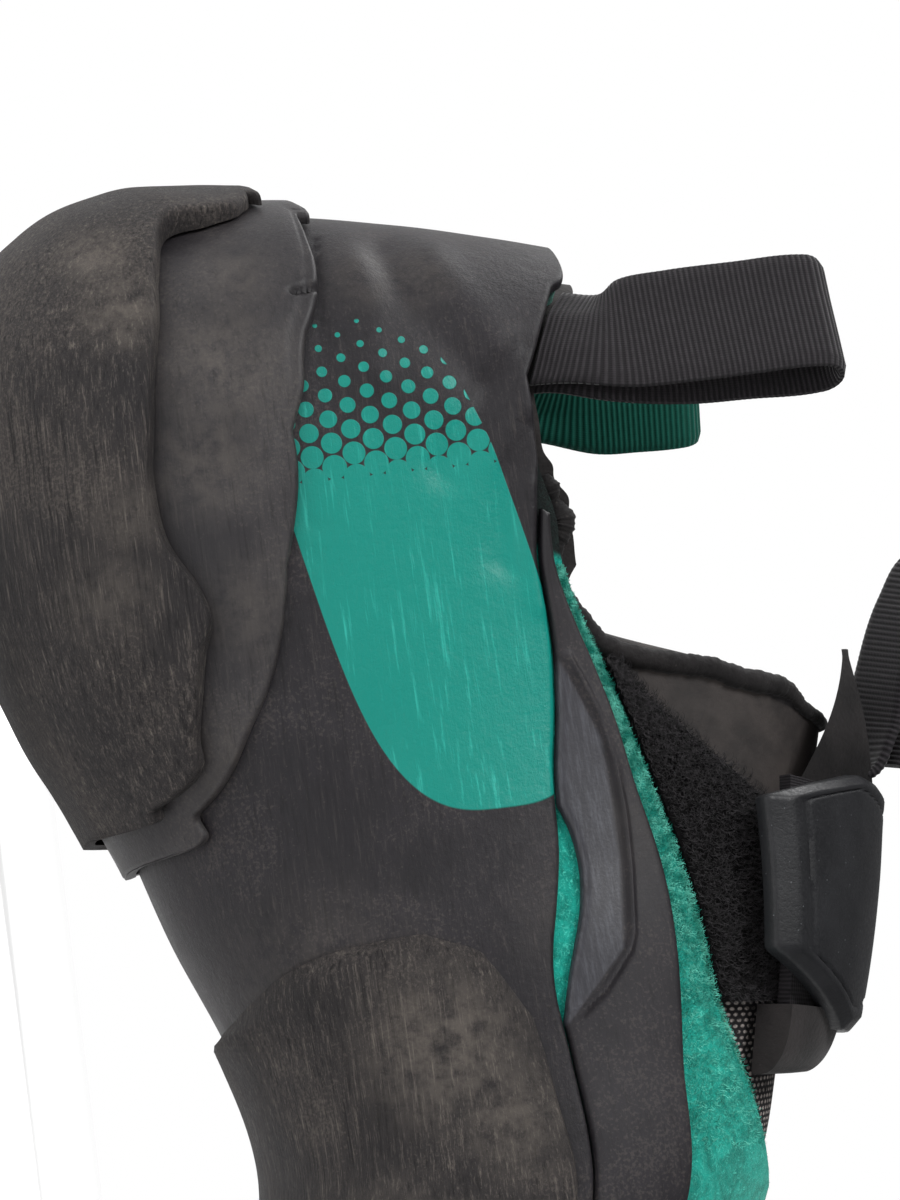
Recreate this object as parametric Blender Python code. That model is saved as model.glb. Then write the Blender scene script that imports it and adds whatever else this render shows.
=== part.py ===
"""A right climbing shoe in separate pieces. Metres, +Y to the toe, +X to the outer side, +Z up.

The origin is the middle of the flat spot under the heel. The last is a tube of sections that runs from the toe,
along the sole, round the heel and up to the ankle. A point on it is given by its station, counted in sections
from the toe, and its turn, the angle round the section: 0 at the sole and heel line, half a turn at the instep
line, positive on the outer side. Each piece is a patch of that tube between two depths, measured outwards from
the outer face of the upper.
"""

import math
from collections import namedtuple

import bmesh
import bpy
import numpy as np

MM = 0.001
HALF_TURN = math.pi

# Driving sizes of the last, at the outer face of the upper
LENGTH = 217 * MM
BALL_WIDTH = 80 * MM
HEEL_WIDTH = 52 * MM
ARCH_RISE = 21.5 * MM
HEEL_RISE = 65 * MM
INSTEP_RISE = 90.5 * MM

# Thickness of each layer and the space that glued layers keep
GAP = 0.3 * MM
UPPER_WALL = 2.0 * MM
RAND_WALL = 1.2 * MM
CUP_WALL = 1.5 * MM
CUP_BULGE = 0.9 * MM
BLOCK_WALL = 3.0 * MM
BLOCK_TIP_WALL = 1.4 * MM
OUTSOLE_WALL = 4.0 * MM
OUTSOLE_TIP_WALL = 0.9 * MM
BAND_WALL = 1.6 * MM
BAND_BEAD = 0.9 * MM
TONGUE_WALL = 1.8 * MM
COLLAR_WALL = 1.2 * MM
PLUSH_WALL = 1.6 * MM
STRAP_WALL = 1.6 * MM
TAB_WALL = 2.8 * MM
WEBBING_WALL = 1.2 * MM
EDGE_BEVEL = 0.8 * MM
FLAT_DEPTH = 0.5 * MM

# Sizes of the loops and flaps that stand free
LOOP_WIDTH = 15 * MM
OUTER_LOOP_HEIGHT = 32 * MM
INNER_LOOP_HEIGHT = 22 * MM
LOOP_SPREAD = 5 * MM
LOOP_SEAT = 5 * MM
LOOP_CLEAR = 0.9 * MM
LOOP_CURVED = 4 * MM
LOOP_FLAT = 12 * MM
TONGUE_LOOP_WIDTH = 10 * MM
TONGUE_LOOP_HEIGHT = 27 * MM
TONGUE_LOOP_LEAN = math.radians(68)
TONGUE_LOOP_END_LEAN = math.radians(38)
TONGUE_LOOP_TWIST = math.radians(30)

# Depths of the layers, outwards from the upper's outer face
RAND_IN = GAP
RAND_OUT = RAND_IN + RAND_WALL
CUP_IN = RAND_OUT + 1.4 * GAP
CUP_OUT = CUP_IN + CUP_WALL
BLOCK_IN = CUP_OUT + CUP_BULGE + GAP
BLOCK_OUT = BLOCK_IN + BLOCK_WALL
OUTSOLE_IN = RAND_OUT + 1.6 * GAP
OUTSOLE_OUT = OUTSOLE_IN + OUTSOLE_WALL
BAND_IN = GAP
TONGUE_DEPTH = UPPER_WALL + 1.4 * GAP
HEEL_SEAT = BLOCK_OUT - FLAT_DEPTH
FORE_SEAT = OUTSOLE_OUT - FLAT_DEPTH

# sole_y and top_y are shares of LENGTH ahead of the origin. seat runs from the forefoot's seat to the heel's.
# arch, back and top are shares of ARCH_RISE, HEEL_RISE and INSTEP_RISE. outer, inner and shift are shares of
# BALL_WIDTH in the fore table and of HEEL_WIDTH in the rear one. widest is the share of the section's height
# where it is widest. low and high say how square it is below and above that.
Section = namedtuple("Section", "sole_y seat arch back top_y top outer inner shift widest low high")
FORE = (
    Section(0.912, 0.0, 0.36, 0.0, 0.912, 0.097, 0.00, 0.00, -0.220, 0.45, 2.2, 2.0),
    Section(0.905, 0.0, 0.20, 0.0, 0.903, 0.152, 0.11, 0.11, -0.212, 0.45, 2.2, 2.0),
    Section(0.876, 0.0, 0.06, 0.0, 0.872, 0.217, 0.20, 0.21, -0.195, 0.45, 2.3, 2.0),
    Section(0.818, 0.0, 0.00, 0.0, 0.808, 0.295, 0.32, 0.34, -0.155, 0.42, 2.6, 2.0),
    Section(0.737, 0.0, 0.00, 0.0, 0.718, 0.397, 0.43, 0.43, -0.100, 0.38, 2.9, 2.0),
    Section(0.645, 0.0, 0.04, 0.0, 0.618, 0.517, 0.50, 0.49, -0.050, 0.35, 2.9, 2.0),
    Section(0.553, 0.0, 0.38, 0.0, 0.528, 0.652, 0.485, 0.455, -0.020, 0.37, 2.6, 2.0),
    Section(0.463, 0.0, 0.82, 0.0, 0.450, 0.774, 0.445, 0.400, 0.000, 0.40, 2.4, 2.0),
    Section(0.387, 0.0, 1.00, 0.0, 0.404, 0.846, 0.410, 0.365, 0.010, 0.42, 2.3, 2.0),
    Section(0.318, 0.0, 0.88, 0.0, 0.353, 0.887, 0.385, 0.345, 0.010, 0.41, 2.3, 2.0),
)
REAR = (
    Section(0.253, 0.3, 0.61, 0.0, 0.306, 0.926, 0.575, 0.530, 0.010, 0.38, 2.3, 2.0),
    Section(0.193, 0.6, 0.40, 0.0, 0.267, 0.952, 0.550, 0.525, 0.005, 0.36, 2.3, 2.0),
    Section(0.125, 0.9, 0.13, 0.0, 0.230, 0.971, 0.540, 0.520, 0.000, 0.33, 2.4, 2.0),
    Section(0.050, 1.0, 0.00, 0.0, 0.205, 0.987, 0.530, 0.520, 0.000, 0.31, 2.4, 2.0),
    Section(-0.042, 1.0, 0.01, 0.0, 0.187, 0.998, 0.520, 0.510, 0.000, 0.31, 2.4, 2.0),
    Section(-0.086, 1.0, 0.00, 0.110, 0.171, 1.000, 0.505, 0.500, 0.000, 0.35, 2.3, 2.0),
    Section(-0.101, 1.0, 0.00, 0.275, 0.159, 0.986, 0.490, 0.490, 0.000, 0.39, 2.2, 2.0),
    Section(-0.1046, 1.0, 0.00, 0.460, 0.150, 0.969, 0.475, 0.475, 0.000, 0.41, 2.2, 2.0),
    Section(-0.094, 1.0, 0.00, 0.670, 0.143, 0.947, 0.455, 0.455, 0.000, 0.42, 2.2, 2.0),
    Section(-0.0816, 1.0, 0.00, 0.840, 0.138, 0.919, 0.430, 0.430, 0.000, 0.42, 2.2, 2.0),
    Section(-0.072, 1.0, 0.00, 0.955, 0.134, 0.903, 0.410, 0.410, 0.000, 0.42, 2.2, 2.0),
    Section(-0.068, 1.0, 0.00, 1.010, 0.131, 0.895, 0.400, 0.400, 0.000, 0.42, 2.2, 2.0),
)
TOE_END = 0.0
ANKLE_END = float(len(FORE) + len(REAR) - 1)

# The pieces share one lattice of stations and turns, so that the facets of neighbouring layers lie parallel
ROW_LATTICE = (0.15, 0.4, 0.8, 1.4, 2.1, 2.9, 3.7, 4.5, 5.3, 6.1, *np.arange(7.0, 10.5, 0.5),
               *np.arange(10.5, 13.0, 0.625), *np.arange(13.0, ANKLE_END, 0.45))
TURNS_AROUND = 24
TURN_LATTICE = tuple(HALF_TURN * (2 * n / TURNS_AROUND - 1) for n in range(1, 2 * TURNS_AROUND))

# Edges of the pieces: station, and height up the section as a share. A height below zero is on the inner side.
Node = namedtuple("Node", "station height")
UPPER_TOP = (
    Node(7.0, 1.0), Node(7.4, 0.992), Node(8, 0.935), Node(8.8, 0.863), Node(9.5, 0.803), Node(10.3, 0.772),
    Node(11, 0.750), Node(12.1, 0.717), Node(13.2, 0.680), Node(13.7, 0.656), Node(14.4, 0.628), Node(15, 0.606),
    Node(15.6, 0.566), Node(16.2, 0.518), Node(17, 0.450), Node(18, 0.327), Node(19, 0.178), Node(19.6, 0.080),
    Node(19.95, 0.0),
)
RAND_TOP = (
    Node(0.0, 1.0), Node(0.4, 1.0), Node(0.8, 0.72), Node(2, 0.56), Node(3, 0.53), Node(4, 0.53), Node(5, 0.55),
    Node(6, 0.555), Node(7, 0.555), Node(7.9, 0.547), Node(8.45, 0.536), Node(8.95, 0.527), Node(9.4, 0.521),
    Node(10.4, 0.550), Node(11.3, 0.577), Node(12.6, 0.609), Node(13.5, 0.612), Node(14.2, 0.600), Node(15, 0.580),
    Node(15.6, 0.558), Node(16, 0.537), Node(17, 0.455), Node(18, 0.333), Node(19, 0.186), Node(19.65, 0.085),
    Node(20.05, 0.0),
)
BAND_TOP = (
    Node(4.8, 0.70), Node(5.5, 0.70), Node(6.2, 0.705), Node(7, 0.725), Node(7.8, 0.732), Node(8.8, 0.718),
    Node(10, 0.720), Node(11.4, 0.701), Node(12.75, 0.676), Node(13.85, 0.632), Node(14.4, 0.614), Node(14.9, 0.598),
)
CUP_TOP = (
    Node(10.62, 0.0), Node(10.72, 0.03), Node(11.15, 0.118), Node(11.9, 0.228), Node(12.7, 0.290),
    Node(13.35, 0.316), Node(14.0, 0.330), Node(14.65, 0.312), Node(15.5, 0.263), Node(15.9, 0.236),
    Node(16.3, 0.198), Node(16.65, 0.145), Node(17.0, 0.066), Node(17.2, 0.02), Node(17.25, 0.0),
)
BLOCK_TOP = (
    Node(11.0, 0.0), Node(11.06, 0.03), Node(11.27, 0.100), Node(11.46, 0.148), Node(11.8, 0.171),
    Node(12.4, 0.202), Node(12.72, 0.217), Node(12.9, 0.211), Node(13.2, 0.186), Node(13.45, 0.181),
    Node(13.9, 0.183), Node(14.35, 0.172), Node(15.2, 0.118), Node(15.55, 0.086), Node(16.1, 0.080),
    Node(16.5, 0.066), Node(16.7, 0.044), Node(16.82, 0.018), Node(16.85, 0.0),
)
OUTSOLE_OUTER = (
    Node(0.0, 0.42), Node(1, 0.36), Node(2, 0.31), Node(3, 0.28), Node(4, 0.29), Node(5, 0.34), Node(6, 0.43),
    Node(7, 0.50), Node(7.9, 0.512), Node(8.6, 0.488), Node(9.1, 0.479), Node(9.6, 0.460), Node(9.8, 0.436),
    Node(9.95, 0.402), Node(10.05, 0.345),
)
OUTSOLE_INNER = (
    Node(0.0, -0.42), Node(1, -0.36), Node(2, -0.31), Node(3, -0.28), Node(4, -0.28), Node(5, -0.28),
    Node(6, -0.30), Node(7, -0.30), Node(7.8, -0.25), Node(8.3, -0.18), Node(8.8, -0.08), Node(9.1, -0.02),
    Node(9.3, 0.015), Node(9.5, 0.068), Node(9.75, 0.145), Node(9.9, 0.218), Node(10.0, 0.295), Node(10.05, 0.345),
)
PLUSH_TOP = (
    Node(9.55, 0.93), Node(11.5, 0.93), Node(12.1, 0.86), Node(12.7, 0.775), Node(13.3, 0.695),
)

# Places along the last
OPENING_TOE = ROW_LATTICE[3]
OPENING_HEEL = ROW_LATTICE[26]
THROAT = UPPER_TOP[0].station
TONGUE_FRONT = 7.3
TONGUE_RIM = 14.2
TONGUE_TUCK = 0.075
COLLAR_SPLIT = ROW_LATTICE[35]
COLLAR_END = 20.9
COLLAR_TUCK = 0.075
COLLAR_STAND = 0.028
LOOP_PLACE = 18.3
LOOP_REACH = 1.1
LOOP_FACING = 0.6
TONGUE_LOOP_SEAT = 1.0
STRAP_FRONT = 9.45
STRAP_BACK = 12.25
STRAP_ROOT = 0.64
STRAP_END = 0.90
TAB_ROOT = 0.985
TAB_END = 0.842
PATCH_FRONT = 1.1
PATCH_BACK = 4.65
PATCH_CORNER = 0.65
SLOT_FROM = 9.1
SLOT_TO = 11.9
SLOT_WIDTH = 0.05


def hermite(knots, values, at):
    """A smooth curve through the values, with the slope at each knot taken from its neighbours."""
    at = np.clip(np.asarray(at, float), knots[0], knots[-1])
    slopes = np.gradient(values, knots)
    low = np.clip(np.searchsorted(knots, at, side="right") - 1, 0, len(knots) - 2)
    span = knots[low + 1] - knots[low]
    t = (at - knots[low]) / span
    rise = values[low + 1] - values[low]
    bend = slopes[low] * span
    ease = slopes[low + 1] * span
    return values[low] + t * bend + t * t * (3 * rise - 2 * bend - ease) + t ** 3 * (bend + ease - 2 * rise)


def built_sections():
    """The sections in metres, one row each: sole y, sole z, top y, top z, outer, inner, shift, widest, low, high."""
    rows = []
    for table, width in ((FORE, BALL_WIDTH), (REAR, HEEL_WIDTH)):
        for row in table:
            base = FORE_SEAT + row.seat * (HEEL_SEAT - FORE_SEAT)
            sole = base + row.arch * ARCH_RISE + row.back * HEEL_RISE
            top = FORE_SEAT + row.top * INSTEP_RISE
            rows.append((
                row.sole_y * LENGTH, sole, row.top_y * LENGTH, top,
                row.outer * width, row.inner * width, row.shift * width, row.widest, row.low, row.high,
            ))
    return np.array(rows)


SECTIONS = built_sections()
STATIONS = np.arange(len(SECTIONS), dtype=float)


def section_at(station):
    return [hermite(STATIONS, column, station) for column in SECTIONS.T]


def turn_of(station, height):
    """The turn at which the section reaches this share of its height. Its sign follows the height's."""
    widest, low, high = section_at(station)[7:]
    up = min(abs(height), 1.0)
    if up < widest:
        rest = 1 - up / widest
        out = (1 - rest ** low) ** (1 / low)
        turn = math.atan2(out, rest)
    else:
        rest = (up - widest) / (1 - widest)
        out = max(1 - rest ** high, 0.0) ** (1 / high)
        turn = HALF_TURN - math.atan2(out, rest)
    return math.copysign(turn, height)


def edge(table, raised=0.0):
    """An edge as a function from station to turn, smooth through a table's own points."""
    knots = np.array([node.station for node in table])
    heights = [node.height + raised * math.copysign(1, node.height) for node in table]
    turns = np.array([turn_of(node.station, height) for node, height in zip(table, heights)])
    return lambda station: hermite(knots, turns, station)


def level(height):
    """An edge at one share of the height."""
    at = np.linspace(TOE_END, ANKLE_END, 80)
    turns = np.array([turn_of(station, height) for station in at])
    return lambda station: np.interp(station, at, turns)


def last(station, turn):
    """Points on the last for arrays of stations and turns."""
    station, turn = np.broadcast_arrays(np.asarray(station, float), np.asarray(turn, float))
    turn = (turn + HALF_TURN) % (2 * HALF_TURN) - HALF_TURN
    sole_y, sole_z, top_y, top_z, outer, inner, shift, widest, low, high = section_at(station)
    down = np.cos(turn)
    out = np.abs(np.sin(turn))
    power = np.where(down > 0, low, high)
    reach = (np.abs(down) ** power + out ** power) ** (-1 / power)
    height = np.where(down > 0, widest * (1 - reach * down), widest - (1 - widest) * reach * down)
    x = shift + np.where(turn > 0, outer, -inner) * reach * out
    y = sole_y + (top_y - sole_y) * height
    z = sole_z + (top_z - sole_z) * height
    return np.stack([x, y, z], axis=-1)


def outward(station, turn):
    """Unit normals of the last, away from the foot."""
    step = 0.01
    station, turn = np.broadcast_arrays(np.asarray(station, float), np.asarray(turn, float))
    near_toe = np.maximum(station, 0.06)
    along = last(np.minimum(near_toe + step, ANKLE_END), turn) - last(near_toe - step, turn)
    round_it = last(near_toe, turn + step) - last(near_toe, turn - step)
    normal = np.cross(round_it, along)
    normal /= np.linalg.norm(normal, axis=-1, keepdims=True)
    tip = np.array([-0.1, 1.0, -0.05])
    share = np.clip(1 - station / 0.05, 0, 1)[..., None]
    normal = normal * (1 - share) + tip * share
    return normal / np.linalg.norm(normal, axis=-1, keepdims=True)


def skin(station, turn, depth):
    """Points at a depth outwards from the last."""
    depth = np.broadcast_to(depth, np.shape(station))[..., None]
    return last(station, turn) + outward(station, turn) * depth


def rows_between(start, end, edges, rim=0.0):
    """The lattice's stations from start to end, with a rim row beside each end, and more where an edge turns fast."""
    ends = [start, end]
    if rim:
        ends += [start + rim, end - rim]
    rows = sorted({*ends, *(s for s in ROW_LATTICE if start < s < end and min(abs(s - e) for e in ends) > 0.04)})
    for side in edges:
        done = [rows[0]]
        for station in rows[1:]:
            turned = abs(float(side(np.array(station))) - float(side(np.array(done[-1]))))
            parts = max(1, math.ceil(turned / MOST_TURN))
            first = done[-1]
            done += [first + (station - first) * n / parts for n in range(1, parts)] + [station]
        rows = done
    return np.array(rows)


def columns_between(low, high, rim=0.0):
    """Edges from low to high: the lattice's turns held between the two, with a narrow rim beside each."""
    at = np.linspace(TOE_END, ANKLE_END, 200)
    least, most = low(at).min(), high(at).max()
    def width(station):
        return np.minimum(rim, 0.2 * (high(station) - low(station)))
    def held(turn):
        return lambda station: np.clip(turn, low(station) + width(station), high(station) - width(station))
    inner = [held(turn) for turn in TURN_LATTICE if least < turn < most]
    if rim:
        inner = [lambda s: low(s) + width(s), *inner, lambda s: high(s) - width(s)]
    return [low, *inner, high]


def smooth_step(low, high, value):
    t = np.clip((value - low) / (high - low), 0, 1)
    return t * t * (3 - 2 * t)


def finish(name, points, faces, colour, roughness):
    """Makes the object, with its normals out and its own plain material."""
    mesh = bpy.data.meshes.new(name)
    mesh.from_pydata([tuple(point) for point in points], [], faces)
    shape = bmesh.new()
    shape.from_mesh(mesh)
    bmesh.ops.recalc_face_normals(shape, faces=shape.faces)
    shape.to_mesh(mesh)
    shape.free()
    body = bpy.data.objects.new(name, mesh)
    bpy.context.collection.objects.link(body)
    mesh.shade_smooth()
    mesh.set_sharp_from_angle(angle=math.radians(40))
    material = bpy.data.materials.new(name)
    material.use_nodes = True
    shader = material.node_tree.nodes["Principled BSDF"]
    shader.inputs["Base Color"].default_value = (*colour, 1.0)
    shader.inputs["Roughness"].default_value = roughness
    mesh.materials.append(material)
    return body


def thick(name, inside, outside, key, look, present=None, floor=False):
    """A closed solid from two matching grids of points. Points whose keys are the same place become one."""
    rows, columns = inside.shape[:2]
    if floor:
        inside[..., 2] = np.maximum(inside[..., 2], GAP)
        outside[..., 2] = np.maximum(outside[..., 2], 0.0)
    found = {}
    index = np.zeros((rows, columns), int)
    for i in range(rows):
        for j in range(columns):
            place = tuple(np.round(key[i, j] / 1e-6).astype(int))
            index[i, j] = found.setdefault(place, len(found))
    count = len(found)
    points = np.zeros((2 * count, 3))
    points[index.reshape(-1)] = outside.reshape(-1, 3)
    points[index.reshape(-1) + count] = inside.reshape(-1, 3)
    faces = []
    for i in range(rows - 1):
        for j in range(columns - 1):
            if present is not None and not present(i, j):
                continue
            ring = (index[i, j], index[i, j + 1], index[i + 1, j + 1], index[i + 1, j])
            corners = [int(a) for n, a in enumerate(ring) if a != ring[n - 1]]
            if len(set(corners)) > 2:
                faces.append(corners)
    uses = {}
    for face in faces:
        for n, b in enumerate(face):
            uses[(face[n - 1], b)] = True
    walls = [(a, b) for a, b in uses if (b, a) not in uses]
    solid = list(faces)
    solid += [[face[0] + count] + [a + count for a in reversed(face[1:])] for face in faces]
    solid += [[b, a, a + count, b + count] for a, b in walls]
    used = sorted({a for face in solid for a in face})
    number = {a: n for n, a in enumerate(used)}
    return finish(name, points[used], [[number[a] for a in face] for face in solid], *look)


def patch(name, stations, turns, inner, outer, look, present=None, floor=False):
    """A piece of the last between two depths. turns is a list of edges, from which the columns are worked out."""
    station = np.repeat(np.asarray(stations)[:, None], len(turns), axis=1)
    turn = np.stack([side(np.asarray(stations)) for side in turns], axis=1)
    depths = [side(station, turn) if callable(side) else np.full(station.shape, side) for side in (inner, outer)]
    inside, outside = (skin(station, turn, depth) for depth in depths)
    return thick(name, inside, outside, last(station, turn), look, present, floor)


def bevelled(full, drop):
    """A depth that falls by drop at the rim of a patch. full is a function of station and turn."""
    def depth(station, turn):
        height = full(station, turn)
        rim = np.zeros(station.shape, bool)
        rim[:, 0] = rim[:, -1] = True
        rim[0, :] = rim[-1, :] = True
        return np.where(rim, height - drop, height)
    return depth


# Looks of the materials: colour, roughness
RUBBER = ((0.045, 0.043, 0.048), 0.55)
SOLE_RUBBER = ((0.060, 0.054, 0.050), 0.75)
SUEDE = ((0.010, 0.290, 0.200), 0.95)
KNIT = ((0.030, 0.030, 0.032), 0.90)
LINING = ((0.040, 0.036, 0.036), 0.85)
PLUSH = ((0.012, 0.011, 0.012), 1.00)
WEBBING = ((0.022, 0.019, 0.024), 0.70)
TEAL_WEBBING = ((0.010, 0.260, 0.185), 0.70)
TAB_RUBBER = ((0.050, 0.050, 0.054), 0.60)
BOARD = ((0.250, 0.235, 0.210), 0.90)

MOST_TURN = 0.24
RIM_ROWS = 0.07
RIM_TURN = 0.045


def make_upper():
    """The suede shell: one hollow wall, open at the throat and ankle and underneath."""
    top = edge(UPPER_TOP)
    stations = rows_between(TOE_END, UPPER_TOP[-1].station, [lambda s: top(np.maximum(s, COLLAR_SPLIT))])
    foot = sole_opening(0.0)
    def rim(station):
        return np.where(station <= THROAT, HALF_TURN, top(station))
    def low(station):
        return np.minimum(foot(station), rim(station))
    side = columns_between(low, rim)
    across = columns_between(lambda s: -low(s), low)[1:-1]
    other = [lambda station, f=f: -f(station) for f in reversed(side)]
    columns = other + across + side
    first, last_column = len(other) - 1, len(other) + len(across)
    def present(i, j):
        under = first <= j < last_column
        inside = OPENING_TOE - 1e-6 <= stations[i] and stations[i + 1] <= OPENING_HEEL + 1e-6
        return not (under and inside)
    patch("upper", stations, columns, -UPPER_WALL, 0.0, SUEDE, present)


def sole_opening(clearance):
    """The feather line as the turn on the outer side: two steps of the lattice at either end, three between."""
    step = 2 * HALF_TURN / TURNS_AROUND
    def foot(station):
        toe = np.clip((station - OPENING_TOE) / (ROW_LATTICE[4] - OPENING_TOE), 0, 1)
        heel = np.clip((OPENING_HEEL - station) / (OPENING_HEEL - ROW_LATTICE[25]), 0, 1)
        return step * (2 + toe * heel) - clearance
    return foot


def make_insole():
    """The board that closes the upper underneath, inside its feather line."""
    foot = sole_opening(0.022)
    stations = rows_between(OPENING_TOE + 0.05, OPENING_HEEL - 0.05, [])
    columns = columns_between(lambda s: -foot(s), foot)
    patch("insole", stations, columns, -UPPER_WALL, -GAP / 2, BOARD)


def make_rand():
    """The rubber boat that wraps the sole, the heel and both sides."""
    top = edge(RAND_TOP)
    stations = rows_between(TOE_END, RAND_TOP[-1].station, [lambda s: top(np.maximum(s, COLLAR_SPLIT))])
    columns = columns_between(lambda s: -top(s), top)
    patch("rand", stations, columns, RAND_IN, RAND_OUT, RUBBER, floor=True)


def cup_end(station):
    """How full the heel cup is towards its rear end: 1 at the heel, 0 at the end."""
    return smooth_step(CUP_TOP[-1].station, CUP_TOP[-1].station - 1.6, station)


def make_heel_cup():
    """The moulded panel round the heel, proud of the rand and fuller in its middle."""
    top = edge(CUP_TOP)
    start, end = CUP_TOP[0].station, CUP_TOP[-1].station
    stations = rows_between(start, end, [top], RIM_ROWS)
    def full(station, turn):
        reach = np.maximum(top(station), 1e-3)
        middle = 1 - np.clip(np.abs(turn) / reach, 0, 1) ** 3
        return CUP_OUT + CUP_BULGE * middle * smooth_step(start, start + 1.2, station) * cup_end(station)
    def under(station, turn):
        return CUP_IN + 0.5 * CUP_WALL * smooth_step(start + 1.0, start + 0.3, station)
    columns = columns_between(lambda s: -top(s), top, RIM_TURN)
    patch("heel_cup", stations, columns, under, bevelled(full, 0.22 * CUP_WALL), RUBBER, floor=True)


def make_heel_block():
    """The thick sole rubber under and up the back of the heel, with a flat spot to stand on."""
    top = edge(BLOCK_TOP)
    start, end = BLOCK_TOP[0].station, BLOCK_TOP[-1].station
    stations = rows_between(start, end, [top], RIM_ROWS)
    def under(station, turn):
        return BLOCK_IN - CUP_BULGE * (1 - cup_end(station))
    def full(station, turn):
        swell = smooth_step(start, start + 1.7, station) * smooth_step(end, end - 1.2, station)
        return under(station, turn) + BLOCK_TIP_WALL + (BLOCK_WALL - BLOCK_TIP_WALL) * swell
    columns = columns_between(lambda s: -top(s), top, RIM_TURN)
    patch("heel_sole", stations, columns, under, bevelled(full, EDGE_BEVEL), SOLE_RUBBER, floor=True)


def make_outsole():
    """The forefoot sole. Its rear end is thin, and it climbs the outer side of the waist."""
    outer, inner = edge(OUTSOLE_OUTER), edge(OUTSOLE_INNER)
    end = OUTSOLE_OUTER[-1].station
    stations = rows_between(TOE_END, end, [inner, outer])
    def full(station, turn):
        wall = OUTSOLE_WALL - (OUTSOLE_WALL - OUTSOLE_TIP_WALL) * smooth_step(5.0, 8.3, station)
        side = smooth_step(0.9, 1.7, np.abs(turn)) * (1 - OUTSOLE_TIP_WALL / OUTSOLE_WALL)
        return OUTSOLE_IN + np.maximum(wall * (1 - side), OUTSOLE_TIP_WALL)
    columns = columns_between(inner, outer, RIM_TURN)
    patch("outsole", stations, columns, OUTSOLE_IN, bevelled(full, 0.6 * OUTSOLE_TIP_WALL), SOLE_RUBBER, floor=True)


def make_side_band(name, side):
    """The rubber strip above the rand, with a raised bead round a sunk panel on its lower side."""
    end = BAND_TOP[-1].station
    stations = rows_between(BAND_TOP[0].station, end, [], 0.05)
    top = edge(BAND_TOP)
    rand_top = edge(RAND_TOP)
    def foot(station):
        slot = smooth_step(SLOT_FROM - 0.1, SLOT_FROM + 0.5, station) * smooth_step(SLOT_TO, SLOT_TO - 1.2, station)
        return np.minimum(rand_top(station) + 0.026 + SLOT_WIDTH * slot, top(station) - 0.012)
    def column(share):
        return lambda s: side * (foot(s) * (1 - share) + top(s) * share)
    columns = [column(share) for share in (0, 0.07, 0.41, 0.50, 0.59, 1)]
    def depth(station, turn):
        low, high = foot(station), top(station)
        up = np.clip((np.abs(turn) - low) / np.maximum(high - low, 1e-4), 0, 1)
        near = smooth_step(8.9, 9.4, station) * smooth_step(14.3, 13.2, station)
        bead = np.exp(-((up - 0.50) / 0.09) ** 2) * near
        rim = np.where((up < 0.02) | (up > 0.98), 0.45 * BAND_WALL, 0.0)
        return BAND_IN + BAND_WALL + BAND_BEAD * bead - rim
    patch(name, stations, columns, BAND_IN, depth, RUBBER)


def make_toe_patch():
    """The rubber over the top of the toes, from the rand on one side to the other."""
    stations = rows_between(PATCH_FRONT, PATCH_BACK, [])
    rand_top = edge(RAND_TOP)
    rounding = turn_of(PATCH_BACK, PATCH_CORNER) - turn_of(PATCH_BACK, 0.55)
    def foot(station):
        return rand_top(station) + 0.13 + rounding * smooth_step(PATCH_BACK - 1.3, PATCH_BACK, station)
    columns = columns_between(foot, lambda s: 2 * HALF_TURN - foot(s))
    patch("toe_patch", stations, columns, RAND_IN, RAND_OUT, RUBBER)


def make_tongue():
    """The knitted tongue: one arched sheet under both edges of the throat, up to its rim at the ankle."""
    stations = rows_between(TONGUE_FRONT, TONGUE_RIM, [])
    low = edge(UPPER_TOP, raised=-TONGUE_TUCK)
    columns = columns_between(low, lambda s: 2 * HALF_TURN - low(s))
    patch("tongue", stations, columns, -TONGUE_DEPTH - TONGUE_WALL, -TONGUE_DEPTH, KNIT)


def make_collar():
    """The rolled band round the ankle, inside the upper's edge and standing a little above it."""
    knots = [node for node in UPPER_TOP if 14 <= node.station <= 19]
    rise = [Node(node.station, node.height + COLLAR_STAND) for node in knots]
    rise += [Node(19.7, 0.130), Node(20.3, 0.050), Node(COLLAR_END, 0.0)]
    drop = [Node(node.station, node.height - COLLAR_TUCK) for node in knots[:-1]]
    drop += [Node(19, 0.075), Node(19.6, 0.02), Node(COLLAR_END, 0.0)]
    rim, hem = edge(rise), edge(drop)
    stations = rows_between(TONGUE_RIM + 0.12, COLLAR_END, [lambda s: rim(np.maximum(s, COLLAR_SPLIT))])
    side = columns_between(hem, rim)
    across = columns_between(lambda s: -hem(s), hem)[1:-1]
    other = [lambda station, f=f: -f(station) for f in reversed(side)]
    columns = other + across + side
    first, last_column = len(other) - 1, len(other) + len(across)
    def present(i, j):
        return not (first <= j < last_column and stations[i] < COLLAR_SPLIT - 1e-6)
    patch("collar", stations, columns, -UPPER_WALL - GAP - COLLAR_WALL, -UPPER_WALL - GAP, LINING, present)


def make_plush():
    """The loop side of the closure, beside the outer edge of the throat."""
    stations = rows_between(PLUSH_TOP[0].station, PLUSH_TOP[-1].station, [])
    low, high = edge(UPPER_TOP), edge(PLUSH_TOP)
    columns = columns_between(lambda s: low(s) + 0.022, high)
    patch("strap_base", stations, columns, -UPPER_WALL, PLUSH_WALL - UPPER_WALL, PLUSH)


def strap_lift(turn):
    """How far the strap stands off the last: over the band on the inner side, lower beyond the instep line."""
    return 2 * GAP + (BAND_WALL + BAND_BEAD) * smooth_step(HALF_TURN * 1.02, HALF_TURN * 1.18, turn)


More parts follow.
